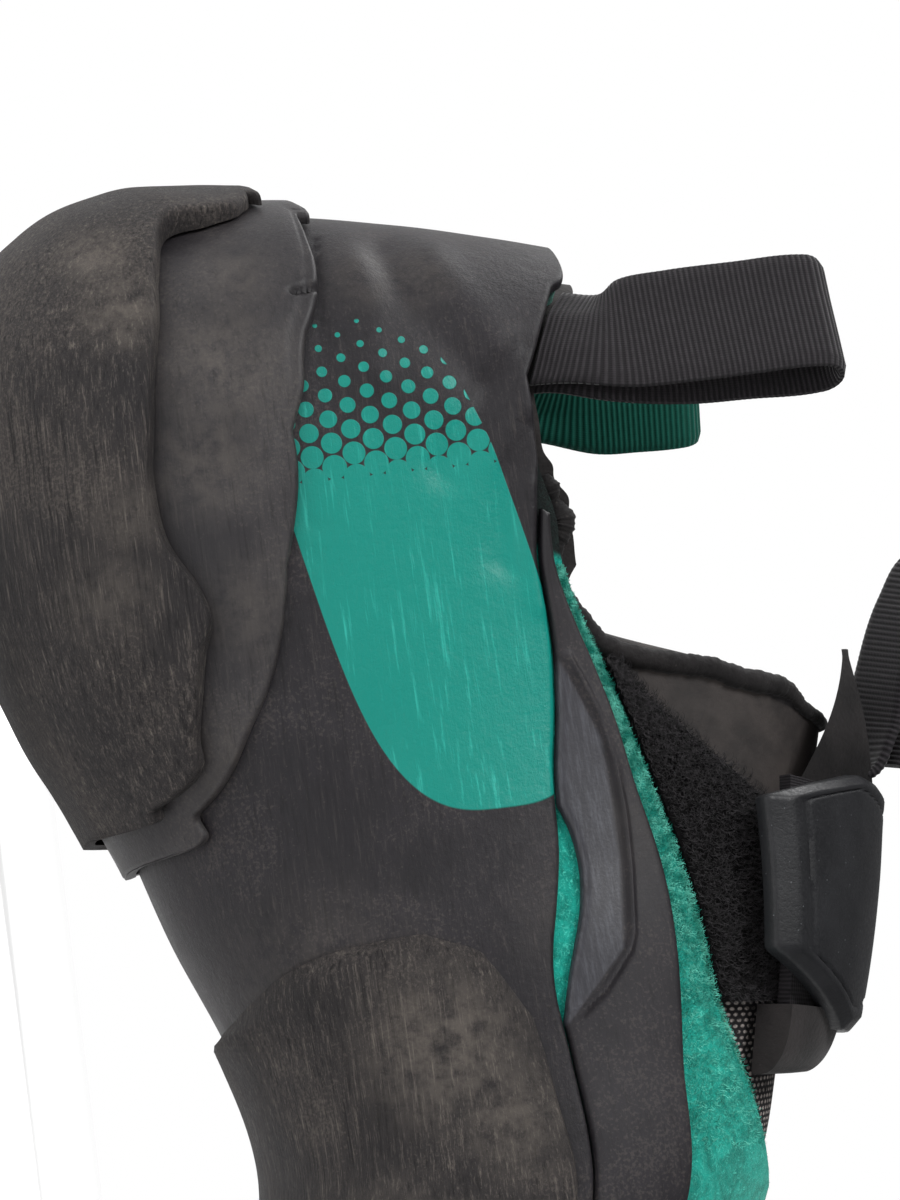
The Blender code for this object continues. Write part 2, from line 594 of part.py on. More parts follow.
def make_strap():
    """The closure strap, from the inner side over the instep."""
    stations = rows_between(STRAP_FRONT, STRAP_BACK, [])
    root, end = level(STRAP_ROOT), level(STRAP_END)
    columns = columns_between(end, lambda s: 2 * HALF_TURN - root(s))
    patch(
        "strap", stations, columns, lambda s, t: strap_lift(t), lambda s, t: strap_lift(t) + STRAP_WALL, WEBBING
    )


def make_tab():
    """The moulded end of the strap, six-sided, thick and bevelled."""
    stations = rows_between(STRAP_FRONT - 0.15, STRAP_BACK + 0.25, [], 0.12)
    middle = (stations[0] + stations[-1]) / 2
    half = (stations[-1] - stations[0]) / 2
    root, end = level(TAB_ROOT), level(TAB_END)
    def near(station):
        taper = np.clip((np.abs(station - middle) / half - 0.55) / 0.45, 0, 1)
        return end(station) + (HALF_TURN - end(station)) * 0.55 * taper
    columns = columns_between(near, lambda s: 2 * HALF_TURN - root(s), 0.08)
    def lift(station, turn):
        return strap_lift(turn) + STRAP_WALL + 3 * GAP
    def full(station, turn):
        return lift(station, turn) + TAB_WALL
    patch("strap_tab", stations, columns, lift, bevelled(full, TAB_WALL * 0.4), TAB_RUBBER)


def sheet(name, middle, wall, look):
    """A strip of even thickness about a grid of points: rows along it, columns across."""
    along = np.gradient(middle, axis=0)
    across = np.gradient(middle, axis=1)
    normal = np.cross(along, across)
    normal /= np.linalg.norm(normal, axis=-1, keepdims=True)
    return thick(name, middle - normal * wall / 2, middle + normal * wall / 2, middle, look)


def make_pull_loop(name, side, height, look):
    """A folded webbing loop astride the collar band: one leg in the slot outside it, one sewn inside it."""
    rim = edge(UPPER_TOP)
    stations = np.linspace(LOOP_PLACE - LOOP_REACH, LOOP_PLACE + LOOP_REACH, 4)
    turns = side * rim(stations)
    outer_depth = -UPPER_WALL / 2
    inner_depth = -(UPPER_WALL + COLLAR_WALL + WEBBING_WALL / 2 + 3 * GAP)
    base = skin(stations, turns, outer_depth)
    foot = skin(stations, turns, inner_depth)
    up = np.array([0.0, 0.015, 1.0])
    up /= np.linalg.norm(up)
    spread = (base[-1] - base[0]) * np.array([LOOP_FACING, 1.0, 1.0])
    spread -= up * spread.dot(up)
    spread *= LOOP_WIDTH / np.linalg.norm(spread)
    flat = np.stack([base.mean(axis=0) + spread * share for share in np.linspace(-0.5, 0.5, 4)])
    inward = foot.mean(axis=0) - base.mean(axis=0)
    inward -= up * inward.dot(up)
    inward /= np.linalg.norm(inward)
    inner_reach = (foot - base).mean(axis=0).dot(inward)
    swell = max(LOOP_SPREAD - inner_reach, 0.0) / 2
    normal = outward(stations, turns)
    lean = up - normal * normal.dot(up)[:, None]
    lean /= np.linalg.norm(lean, axis=-1, keepdims=True)
    def climb(rise):
        return lean * min(rise, LOOP_CURVED) + up * max(rise - LOOP_CURVED, 0.0)
    straight = height - LOOP_SPREAD / 2
    rows = []
    for share in (0.0, 0.15, 0.3, 0.5, 0.75, 1.0):
        rise = LOOP_CLEAR + straight * share
        ease = smooth_step(LOOP_CURVED, LOOP_FLAT, rise)
        out = -inward * swell * smooth_step(LOOP_CURVED, straight, rise)
        rows.append(base * (1 - ease) + flat * ease + climb(rise) + out)
    crown = rows[-1]
    radius = (inner_reach + 2 * swell) / 2
    for angle in np.linspace(0, HALF_TURN, 6)[1:]:
        rows.append(crown + inward * radius * (1 - math.cos(angle)) + up * radius * math.sin(angle))
    for share in (0.75, 0.5, 0.25, 0.12, 0.0):
        rise = LOOP_CLEAR + straight * share
        ease = smooth_step(LOOP_CURVED, LOOP_FLAT, rise)
        out = inward * swell * smooth_step(LOOP_CURVED, straight, rise)
        rows.append(foot * (1 - ease) + (flat + inward * inner_reach) * ease + climb(rise) + out)
    rows.append(foot - lean * LOOP_SEAT)
    sheet(name, np.array(rows), WEBBING_WALL, look)


def make_tongue_loop():
    """The narrow pull loop at the top of the tongue. It leans back over the ankle, steeper near its end."""
    depth = WEBBING_WALL / 2 - UPPER_WALL
    seat, rim = skin(np.array([TONGUE_RIM - TONGUE_LOOP_SEAT, TONGUE_RIM]), np.full(2, HALF_TURN), depth)
    run = (rim - seat) / np.linalg.norm(rim - seat)
    start = seat + run * 3 * MM + np.array([0.0, 0.0, 1 * MM])
    rows = [(seat, 0.0), (start, 0.0)]
    legs = ((0.25, 0.8), (0.5, 1.8), (0.8, 2.6), (0.97, 2.0), (1.02, 0.0), (0.97, -2.0), (0.8, -2.6), (0.5, -1.9))
    for share, out in (*legs, (0.28, -1.6)):
        middle = TONGUE_LOOP_LEAN + (TONGUE_LOOP_END_LEAN - TONGUE_LOOP_LEAN) * share / 2
        heading = TONGUE_LOOP_LEAN + (TONGUE_LOOP_END_LEAN - TONGUE_LOOP_LEAN) * share
        along = np.array([0.0, -math.sin(middle), math.cos(middle)]) * TONGUE_LOOP_HEIGHT * share
        aside = np.array([0.0, math.cos(heading), math.sin(heading)]) * out * MM
        rows.append((start + along + aside, heading))
    middle = []
    for point, heading in rows:
        twist = TONGUE_LOOP_TWIST if heading else 0.0
        across = np.array([math.cos(twist), math.sin(twist) * math.cos(heading), math.sin(twist) * math.sin(heading)])
        middle.append([point + across * TONGUE_LOOP_WIDTH * share for share in np.linspace(-0.5, 0.5, 3)])
    sheet("tongue_loop", np.array(middle), WEBBING_WALL, WEBBING)


def clear_scene():
    for item in list(bpy.data.objects):
        bpy.data.objects.remove(item)


def main():
    clear_scene()
    make_upper()
    make_insole()
    make_rand()
    make_heel_cup()
    make_heel_block()
    make_outsole()
    make_side_band("side_band_outer", 1)
    make_side_band("side_band_inner", -1)
    make_toe_patch()
    make_tongue()
    make_collar()
    make_plush()
    make_strap()
    make_tab()
    make_pull_loop("pull_loop_outer", 1, OUTER_LOOP_HEIGHT, WEBBING)
    make_pull_loop("pull_loop_inner", -1, INNER_LOOP_HEIGHT, TEAL_WEBBING)
    make_tongue_loop()


main()
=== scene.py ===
"""Looks of the climbing shoe. Metres, +Y to the toe, +X to the outer side, +Z up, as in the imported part."""

import math
from collections import namedtuple

import bmesh
import bpy
import numpy as np
from mathutils import Matrix, Vector


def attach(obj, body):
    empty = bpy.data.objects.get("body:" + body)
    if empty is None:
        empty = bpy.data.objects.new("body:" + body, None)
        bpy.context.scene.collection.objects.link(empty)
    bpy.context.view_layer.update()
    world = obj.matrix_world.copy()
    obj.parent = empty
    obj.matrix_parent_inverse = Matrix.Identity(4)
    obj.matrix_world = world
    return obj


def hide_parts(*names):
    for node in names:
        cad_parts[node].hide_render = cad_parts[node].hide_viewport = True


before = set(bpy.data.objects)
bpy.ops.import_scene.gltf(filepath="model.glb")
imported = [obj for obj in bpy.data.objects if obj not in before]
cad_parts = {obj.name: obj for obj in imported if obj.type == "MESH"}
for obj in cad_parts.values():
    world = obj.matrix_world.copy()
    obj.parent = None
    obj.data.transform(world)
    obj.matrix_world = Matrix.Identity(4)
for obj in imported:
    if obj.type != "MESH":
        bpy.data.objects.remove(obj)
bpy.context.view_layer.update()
scene = bpy.context.scene
MM = 0.001
HALF_TURN = math.pi

# The last, with the part's own sizes and tables
LENGTH = 217 * MM
BALL_WIDTH = 80 * MM
HEEL_WIDTH = 52 * MM
ARCH_RISE = 21.5 * MM
HEEL_RISE = 65 * MM
INSTEP_RISE = 90.5 * MM
GAP = 0.3 * MM
UPPER_WALL = 2.0 * MM
RAND_WALL = 1.2 * MM
CUP_WALL = 1.5 * MM
CUP_BULGE = 0.9 * MM
BLOCK_WALL = 3.0 * MM
BLOCK_TIP_WALL = 1.4 * MM
OUTSOLE_WALL = 4.0 * MM
OUTSOLE_TIP_WALL = 0.9 * MM
BAND_WALL = 1.6 * MM
BAND_BEAD = 0.9 * MM
TONGUE_WALL = 1.8 * MM
COLLAR_WALL = 1.2 * MM
PLUSH_WALL = 1.6 * MM
STRAP_WALL = 1.6 * MM
TAB_WALL = 2.8 * MM
WEBBING_WALL = 1.2 * MM
FLAT_DEPTH = 0.5 * MM
LOOP_WIDTH = 15 * MM
OUTER_LOOP_HEIGHT = 32 * MM
INNER_LOOP_HEIGHT = 22 * MM
LOOP_SPREAD = 5 * MM
LOOP_SEAT = 5 * MM
LOOP_CLEAR = 0.9 * MM
LOOP_CURVED = 4 * MM
LOOP_FLAT = 12 * MM
TONGUE_LOOP_WIDTH = 10 * MM
TONGUE_LOOP_HEIGHT = 27 * MM
TONGUE_LOOP_LEAN = math.radians(70)
TONGUE_LOOP_END_LEAN = math.radians(56)
TONGUE_LOOP_TWIST = math.radians(25)
RAND_IN = GAP
RAND_OUT = RAND_IN + RAND_WALL
CUP_IN = RAND_OUT + 1.4 * GAP
CUP_OUT = CUP_IN + CUP_WALL
BLOCK_IN = CUP_OUT + CUP_BULGE + GAP
BLOCK_OUT = BLOCK_IN + BLOCK_WALL
OUTSOLE_IN = RAND_OUT + 1.6 * GAP
OUTSOLE_OUT = OUTSOLE_IN + OUTSOLE_WALL
BAND_IN = GAP
TONGUE_DEPTH = UPPER_WALL + 1.4 * GAP
HEEL_SEAT = BLOCK_OUT - FLAT_DEPTH
FORE_SEAT = OUTSOLE_OUT - FLAT_DEPTH

Section = namedtuple("Section", "sole_y seat arch back top_y top outer inner shift widest low high")
FORE = (
    Section(0.912, 0.0, 0.36, 0.0, 0.912, 0.097, 0.00, 0.00, -0.220, 0.45, 2.2, 2.0),
    Section(0.905, 0.0, 0.20, 0.0, 0.903, 0.152, 0.11, 0.11, -0.212, 0.45, 2.2, 2.0),
    Section(0.876, 0.0, 0.06, 0.0, 0.872, 0.217, 0.20, 0.21, -0.195, 0.45, 2.3, 2.0),
    Section(0.818, 0.0, 0.00, 0.0, 0.808, 0.295, 0.32, 0.34, -0.155, 0.42, 2.6, 2.0),
    Section(0.737, 0.0, 0.00, 0.0, 0.718, 0.397, 0.43, 0.43, -0.100, 0.38, 2.9, 2.0),
    Section(0.645, 0.0, 0.04, 0.0, 0.618, 0.517, 0.50, 0.49, -0.050, 0.35, 2.9, 2.0),
    Section(0.553, 0.0, 0.38, 0.0, 0.528, 0.652, 0.485, 0.455, -0.020, 0.37, 2.6, 2.0),
    Section(0.463, 0.0, 0.82, 0.0, 0.450, 0.774, 0.445, 0.400, 0.000, 0.40, 2.4, 2.0),
    Section(0.387, 0.0, 1.00, 0.0, 0.404, 0.846, 0.410, 0.365, 0.010, 0.42, 2.3, 2.0),
    Section(0.318, 0.0, 0.88, 0.0, 0.353, 0.887, 0.385, 0.345, 0.010, 0.41, 2.3, 2.0),
)
REAR = (
    Section(0.253, 0.3, 0.61, 0.0, 0.306, 0.926, 0.575, 0.530, 0.010, 0.38, 2.3, 2.0),
    Section(0.193, 0.6, 0.40, 0.0, 0.267, 0.952, 0.550, 0.525, 0.005, 0.36, 2.3, 2.0),
    Section(0.125, 0.9, 0.13, 0.0, 0.230, 0.971, 0.540, 0.520, 0.000, 0.33, 2.4, 2.0),
    Section(0.050, 1.0, 0.00, 0.0, 0.205, 0.987, 0.530, 0.520, 0.000, 0.31, 2.4, 2.0),
    Section(-0.042, 1.0, 0.01, 0.0, 0.187, 0.998, 0.520, 0.510, 0.000, 0.31, 2.4, 2.0),
    Section(-0.086, 1.0, 0.00, 0.110, 0.171, 1.000, 0.505, 0.500, 0.000, 0.35, 2.3, 2.0),
    Section(-0.101, 1.0, 0.00, 0.275, 0.159, 0.986, 0.490, 0.490, 0.000, 0.39, 2.2, 2.0),
    Section(-0.1046, 1.0, 0.00, 0.460, 0.150, 0.969, 0.475, 0.475, 0.000, 0.41, 2.2, 2.0),
    Section(-0.094, 1.0, 0.00, 0.670, 0.143, 0.947, 0.455, 0.455, 0.000, 0.42, 2.2, 2.0),
    Section(-0.0816, 1.0, 0.00, 0.840, 0.138, 0.919, 0.430, 0.430, 0.000, 0.42, 2.2, 2.0),
    Section(-0.072, 1.0, 0.00, 0.955, 0.134, 0.903, 0.410, 0.410, 0.000, 0.42, 2.2, 2.0),
    Section(-0.068, 1.0, 0.00, 1.010, 0.131, 0.895, 0.400, 0.400, 0.000, 0.42, 2.2, 2.0),
)
TOE_END = 0.0
ANKLE_END = float(len(FORE) + len(REAR) - 1)

Node = namedtuple("Node", "station height")


def nodes(*pairs):
    return [Node(*pair) for pair in pairs]


UPPER_TOP = nodes(
    (7.0, 1.0), (7.4, 0.992), (8, 0.935), (8.8, 0.863), (9.5, 0.803), (10.3, 0.772), (11, 0.750), (12.1, 0.717),
    (13.2, 0.680), (13.7, 0.656), (14.4, 0.628), (15, 0.606), (15.6, 0.566), (16.2, 0.518), (17, 0.450),
    (18, 0.327), (19, 0.178), (19.6, 0.080), (19.95, 0.0),
)
RAND_TOP = nodes(
    (0.0, 1.0), (0.4, 1.0), (0.8, 0.72), (2, 0.56), (3, 0.53), (4, 0.53), (5, 0.55), (6, 0.555), (7, 0.555),
    (7.9, 0.547), (8.45, 0.536), (8.95, 0.527), (9.4, 0.521), (10.4, 0.550), (11.3, 0.577), (12.6, 0.609),
    (13.5, 0.612), (14.2, 0.600), (15, 0.580), (15.6, 0.558), (16, 0.537), (17, 0.455), (18, 0.333),
    (19, 0.186), (19.65, 0.085), (20.05, 0.0),
)
BAND_TOP = nodes(
    (4.8, 0.70), (5.5, 0.70), (6.2, 0.705), (7, 0.725), (7.8, 0.732), (8.8, 0.718), (10, 0.720), (11.4, 0.701),
    (12.75, 0.676), (13.85, 0.632), (14.4, 0.614), (14.9, 0.598),
)
CUP_TOP = nodes(
    (10.62, 0.0), (10.72, 0.03), (11.15, 0.118), (11.9, 0.228), (12.7, 0.290), (13.35, 0.316), (14.0, 0.330),
    (14.65, 0.312), (15.5, 0.263), (15.9, 0.236), (16.3, 0.198), (16.65, 0.145), (17.0, 0.066), (17.2, 0.02),
    (17.25, 0.0),
)
BLOCK_TOP = nodes(
    (11.0, 0.0), (11.06, 0.03), (11.27, 0.100), (11.46, 0.148), (11.8, 0.171), (12.4, 0.202), (12.72, 0.217),
    (12.9, 0.211), (13.2, 0.186), (13.45, 0.181), (13.9, 0.183), (14.35, 0.172), (15.2, 0.118), (15.55, 0.086),
    (16.1, 0.080), (16.5, 0.066), (16.7, 0.044), (16.82, 0.018), (16.85, 0.0),
)
OUTSOLE_OUTER = nodes(
    (0.0, 0.42), (1, 0.36), (2, 0.31), (3, 0.28), (4, 0.29), (5, 0.34), (6, 0.43), (7, 0.50), (7.9, 0.512),
    (8.6, 0.488), (9.1, 0.479), (9.6, 0.460), (9.8, 0.436), (9.95, 0.402), (10.05, 0.345),
)
OUTSOLE_INNER = nodes(
    (0.0, -0.42), (1, -0.36), (2, -0.31), (3, -0.28), (4, -0.28), (5, -0.28), (6, -0.30), (7, -0.30),
    (7.8, -0.25), (8.3, -0.18), (8.8, -0.08), (9.1, -0.02), (9.3, 0.015), (9.5, 0.068), (9.75, 0.145),
    (9.9, 0.218), (10.0, 0.295), (10.05, 0.345),
)
PLUSH_TOP = nodes(
    (9.55, 0.93), (11.5, 0.93), (12.1, 0.86), (12.7, 0.775), (13.3, 0.695),
)
THROAT = UPPER_TOP[0].station
TONGUE_FRONT = 7.3
TONGUE_RIM = 14.2
TONGUE_TUCK = 0.075
COLLAR_SPLIT = 19.3
COLLAR_END = 20.9
COLLAR_TUCK = 0.075
COLLAR_STAND = 0.028
LOOP_PLACE = 18.3
LOOP_REACH = 1.1
LOOP_FACING = 0.6
STRAP_FRONT = 9.45
STRAP_BACK = 12.25
STRAP_ROOT = 0.64
STRAP_END = 0.90
TAB_ROOT = 0.985
TAB_END = 0.842
PATCH_FRONT = 1.1
PATCH_BACK = 4.65
PATCH_CORNER = 0.65
TONGUE_LOOP_BACK = 1.5
TONGUE_LOOP_START = (0.0, 1.0 * MM, 4.6 * MM)


def hermite(knots, values, at):
    at = np.clip(np.asarray(at, float), knots[0], knots[-1])
    slopes = np.gradient(values, knots)
    low = np.clip(np.searchsorted(knots, at, side="right") - 1, 0, len(knots) - 2)
    span = knots[low + 1] - knots[low]
    t = (at - knots[low]) / span
    rise = values[low + 1] - values[low]
    bend = slopes[low] * span
    ease = slopes[low + 1] * span
    return values[low] + t * bend + t * t * (3 * rise - 2 * bend - ease) + t ** 3 * (bend + ease - 2 * rise)


def built_sections():
    rows = []
    for table, width in ((FORE, BALL_WIDTH), (REAR, HEEL_WIDTH)):
        for row in table:
            base = FORE_SEAT + row.seat * (HEEL_SEAT - FORE_SEAT)
            sole = base + row.arch * ARCH_RISE + row.back * HEEL_RISE
            top = FORE_SEAT + row.top * INSTEP_RISE
            rows.append((
                row.sole_y * LENGTH, sole, row.top_y * LENGTH, top,
                row.outer * width, row.inner * width, row.shift * width, row.widest, row.low, row.high,
            ))
    return np.array(rows)


SECTIONS = built_sections()
STATIONS = np.arange(len(SECTIONS), dtype=float)


def section_at(station):
    return [hermite(STATIONS, column, station) for column in SECTIONS.T]


def turn_of(station, height):
    widest, low, high = section_at(station)[7:]
    up = min(abs(height), 1.0)
    if up < widest:
        rest = 1 - up / widest
        out = (1 - rest ** low) ** (1 / low)
        turn = math.atan2(out, rest)
    else:
        rest = (up - widest) / (1 - widest)
        out = max(1 - rest ** high, 0.0) ** (1 / high)
        turn = HALF_TURN - math.atan2(out, rest)
    return math.copysign(turn, height)


def edge(table, raised=0.0):
    knots = np.array([node.station for node in table])
    heights = [node.height + raised * math.copysign(1, node.height) for node in table]
    turns = np.array([turn_of(node.station, height) for node, height in zip(table, heights)])
    return lambda station: hermite(knots, turns, station)


def level(height):
    at = np.linspace(TOE_END, ANKLE_END, 80)
    turns = np.array([turn_of(station, height) for station in at])
    return lambda station: np.interp(station, at, turns)


def last(station, turn):
    station, turn = np.broadcast_arrays(np.asarray(station, float), np.asarray(turn, float))
    turn = (turn + HALF_TURN) % (2 * HALF_TURN) - HALF_TURN
    sole_y, sole_z, top_y, top_z, outer, inner, shift, widest, low, high = section_at(station)
    down = np.cos(turn)
    out = np.abs(np.sin(turn))
    power = np.where(down > 0, low, high)
    reach = (np.abs(down) ** power + out ** power) ** (-1 / power)
    height = np.where(down > 0, widest * (1 - reach * down), widest - (1 - widest) * reach * down)
    x = shift + np.where(turn > 0, outer, -inner) * reach * out
    y = sole_y + (top_y - sole_y) * height
    z = sole_z + (top_z - sole_z) * height
    return np.stack([x, y, z], axis=-1)


def outward(station, turn):
    step = 0.01
    station, turn = np.broadcast_arrays(np.asarray(station, float), np.asarray(turn, float))
    near_toe = np.maximum(station, 0.06)
    along = last(np.minimum(near_toe + step, ANKLE_END), turn) - last(near_toe - step, turn)
    round_it = last(near_toe, turn + step) - last(near_toe, turn - step)
    normal = np.cross(round_it, along)
    normal /= np.linalg.norm(normal, axis=-1, keepdims=True)
    tip = np.array([-0.1, 1.0, -0.05])
    share = np.clip(1 - station / 0.05, 0, 1)[..., None]
    normal = normal * (1 - share) + tip * share
    return normal / np.linalg.norm(normal, axis=-1, keepdims=True)


def skin(station, turn, depth):
    depth = np.broadcast_to(depth, np.shape(station))[..., None]
    return last(station, turn) + outward(station, turn) * depth


def smooth_step(low, high, value):
    t = np.clip((value - low) / (high - low), 0, 1)
    return t * t * (3 - 2 * t)


def bump_at(value, centre, width):
    return np.exp(-((value - centre) / width) ** 2)


# Lines and spots on the outer side, in millimetres of Y and Z
def line_distance(points, line):
    """Distance in mm, in the YZ plane, from points (metres) to a broken line of (y, z) in mm."""
    y, z = points[..., 1] / MM, points[..., 2] / MM
    best = np.full(y.shape, 1e6)
    for (ay, az), (by, bz) in zip(line[:-1], line[1:]):
        dy, dz = by - ay, bz - az
        t = np.clip(((y - ay) * dy + (z - az) * dz) / (dy * dy + dz * dz), 0, 1)
        best = np.minimum(best, np.hypot(y - ay - t * dy, z - az - t * dz))
    return best


def fold(points, line, width, depth):
    """A soft trough (or ridge, where depth is above zero) along a line on the outer side."""
    near = smooth_step(0, 6 * MM, points[..., 0])
    return depth * MM * np.exp(-(line_distance(points, line) / width) ** 2) * near


# Meshes from grids
def mesh_from(name, points, faces, uvs=None, smooth=True):
    mesh = bpy.data.meshes.new(name)
    mesh.from_pydata(points.reshape(-1, 3).tolist(), [], faces)
    if uvs is not None:
        layer = mesh.uv_layers.new(name="grid")
        index = np.zeros(len(mesh.loops), np.int32)
        mesh.loops.foreach_get("vertex_index", index)
        layer.data.foreach_set("uv", uvs.reshape(-1, 2)[index].reshape(-1))
    body = bpy.data.objects.new(name, mesh)
    bpy.context.collection.objects.link(body)
    if smooth:
        mesh.shade_smooth()
    return body


def grid_faces(rows, columns, start=0, flip=False):
    i, j = np.meshgrid(np.arange(rows - 1), np.arange(columns - 1), indexing="ij")
    a = start + i * columns + j
    quads = np.stack([a, a + 1, a + columns + 1, a + columns], axis=-1).reshape(-1, 4)
    return (quads[:, ::-1] if flip else quads).tolist()


def tidy_mesh(body, angle=50):
    """Joins doubled points, drops faces without area and turns the normals out."""
    shape = bmesh.new()
    shape.from_mesh(body.data)
    bmesh.ops.remove_doubles(shape, verts=shape.verts, dist=2e-6)
    bmesh.ops.dissolve_degenerate(shape, edges=shape.edges, dist=1e-6)
    bmesh.ops.recalc_face_normals(shape, faces=shape.faces)
    shape.to_mesh(body.data)
    shape.free()
    body.data.shade_smooth()
    body.data.set_sharp_from_angle(angle=math.radians(angle))
    return body


def spread(low, high, count, rim=()):
    """Turns from low to high, one row for each station, with narrow columns beside each edge."""
    width = high - low
    near = [np.minimum(r, 0.3 * width * r / rim[-1]) for r in rim] if rim else [0 * width]
    first, final = low + near[-1], high - near[-1]
    inner = [first + (final - first) * share for share in np.linspace(0, 1, count)[1:-1]]
    return np.stack([low + n for n in near] + inner + [high - n for n in reversed(near)], axis=-1)


def stations_between(start, end, step, rim=()):
    """Stations, closer together at the rear half, which the photo shows."""
    inner = [start + (rim[-1] if rim else 0)]
    final = end - (rim[-1] if rim else 0)
    while inner[-1] < final:
        here = inner[-1]
        inner.append(here + step * (2.4 if here < 8.5 else 1.0))
    inner[-1] = final
    before = [start + r for r in rim[:-1]]
    after = [end - r for r in reversed(rim[:-1])]
    return np.array(before + inner + after)


def shell(name, stations, turns, outer, inner, floor=False, closed=False):
    """A layer of the last: outer face, cut edges down to the inner depth and, where closed, the inner face."""
    station = np.repeat(stations[:, None], turns.shape[1], axis=1) if stations.ndim == 1 else stations
    depth = outer(station, turns, last(station, turns)) if callable(outer) else np.full(station.shape, outer)
    face = skin(station, turns, depth)
    if floor:
        face[..., 2] = np.maximum(face[..., 2], 0.0)
    low = inner(station, turns) if callable(inner) else np.full(station.shape, inner)
    back = skin(station, turns, low)
    if floor:
        back[..., 2] = np.maximum(back[..., 2], GAP)
    uv = np.stack([turns * 25, station * 14], axis=-1)
    rows, columns = station.shape
    if closed:
        return closed_pair(name, face, back, uv)
    full = np.zeros((rows + 2, columns + 2, 3))
    full[1:-1, 1:-1] = face
    full[0, 1:-1], full[-1, 1:-1] = back[0], back[-1]
    full[1:-1, 0], full[1:-1, -1] = back[:, 0], back[:, -1]
    full[0, 0], full[0, -1], full[-1, 0], full[-1, -1] = back[0, 0], back[0, -1], back[-1, 0], back[-1, -1]
    uvs = np.pad(uv, ((1, 1), (1, 1), (0, 0)), mode="edge")
    return tidy_mesh(mesh_from(name, full, grid_faces(rows + 2, columns + 2), uvs))


def closed_pair(name, front, back, uv, angle=50):
    """Two equal grids, joined round their borders into one closed body."""
    rows, columns = front.shape[:2]
    count = rows * columns
    faces = grid_faces(rows, columns) + grid_faces(rows, columns, count, True)
    ring = list(range(columns)) + [i * columns + columns - 1 for i in range(1, rows)]
    ring += [(rows - 1) * columns + j for j in range(columns - 2, -1, -1)]
    ring += [i * columns for i in range(rows - 2, 0, -1)]
    faces += [[b, a, a + count, b + count] for a, b in zip(ring, ring[1:] + ring[:1])]
    points = np.concatenate([front.reshape(-1, 3), back.reshape(-1, 3)])
    return tidy_mesh(mesh_from(name, points, faces, np.concatenate([uv.reshape(-1, 2)] * 2)), angle)


def two_sides(name, outside, inside, uv, split, ends=False):
    """A wall in two halves of its columns, which part where a row is split. Its ends may be closed too."""
    n, m = outside.shape[:2]
    count, total = m // 2, n * m
    faces = []
    for start, flip in ((0, False), (total, True)):
        for i in range(n - 1):
            for j in range(m - 1):
                if j == count - 1 and split[i]:
                    continue
                a = start + i * m + j
                quad = [a, a + 1, a + m + 1, a + m]
                faces.append(quad[::-1] if flip else quad)
    walls = [(i * m + j, (i + 1) * m + j) for j in (0, count - 1, count, m - 1) for i in range(n - 1)
             if j in (0, m - 1) or split[i]]
    if ends:
        walls += [(i * m + j, i * m + j + 1) for i in (0, n - 1) for j in range(m - 1)]
    faces += [[a, b, b + total, a + total] for a, b in walls]
    points = np.concatenate([outside.reshape(-1, 3), inside.reshape(-1, 3)])
    return tidy_mesh(mesh_from(name, points, faces, np.concatenate([uv.reshape(-1, 2)] * 2)), 60)


def rounded(distance, radius, drop):
    """The fall of an edge at a distance (mm) from it, as a quarter circle."""
    t = np.clip(1 - distance / radius, 0, 1)
    return drop * (1 - np.sqrt(np.maximum(1 - t * t, 0)))


def edge_distance(points):
    """Distance in mm along the grid from each point to the nearer border, rows and columns apart."""
    across = np.cumsum(np.linalg.norm(np.diff(points, axis=1), axis=-1), axis=1) / MM
    across = np.concatenate([np.zeros((len(points), 1)), across], axis=1)
    across = np.minimum(across, across[:, -1:] - across)
    down = np.cumsum(np.linalg.norm(np.diff(points, axis=0), axis=-1), axis=0) / MM
    down = np.concatenate([np.zeros((1, points.shape[1])), down], axis=0)
    down = np.minimum(down, down[-1:] - down)
    return across, down


def border_distance(points):
    return np.minimum(*edge_distance(points))


RIM = (0, 0.005, 0.012, 0.022, 0.036, 0.055)
ROW_RIM = (0, 0.01, 0.025, 0.045, 0.07, 0.10)


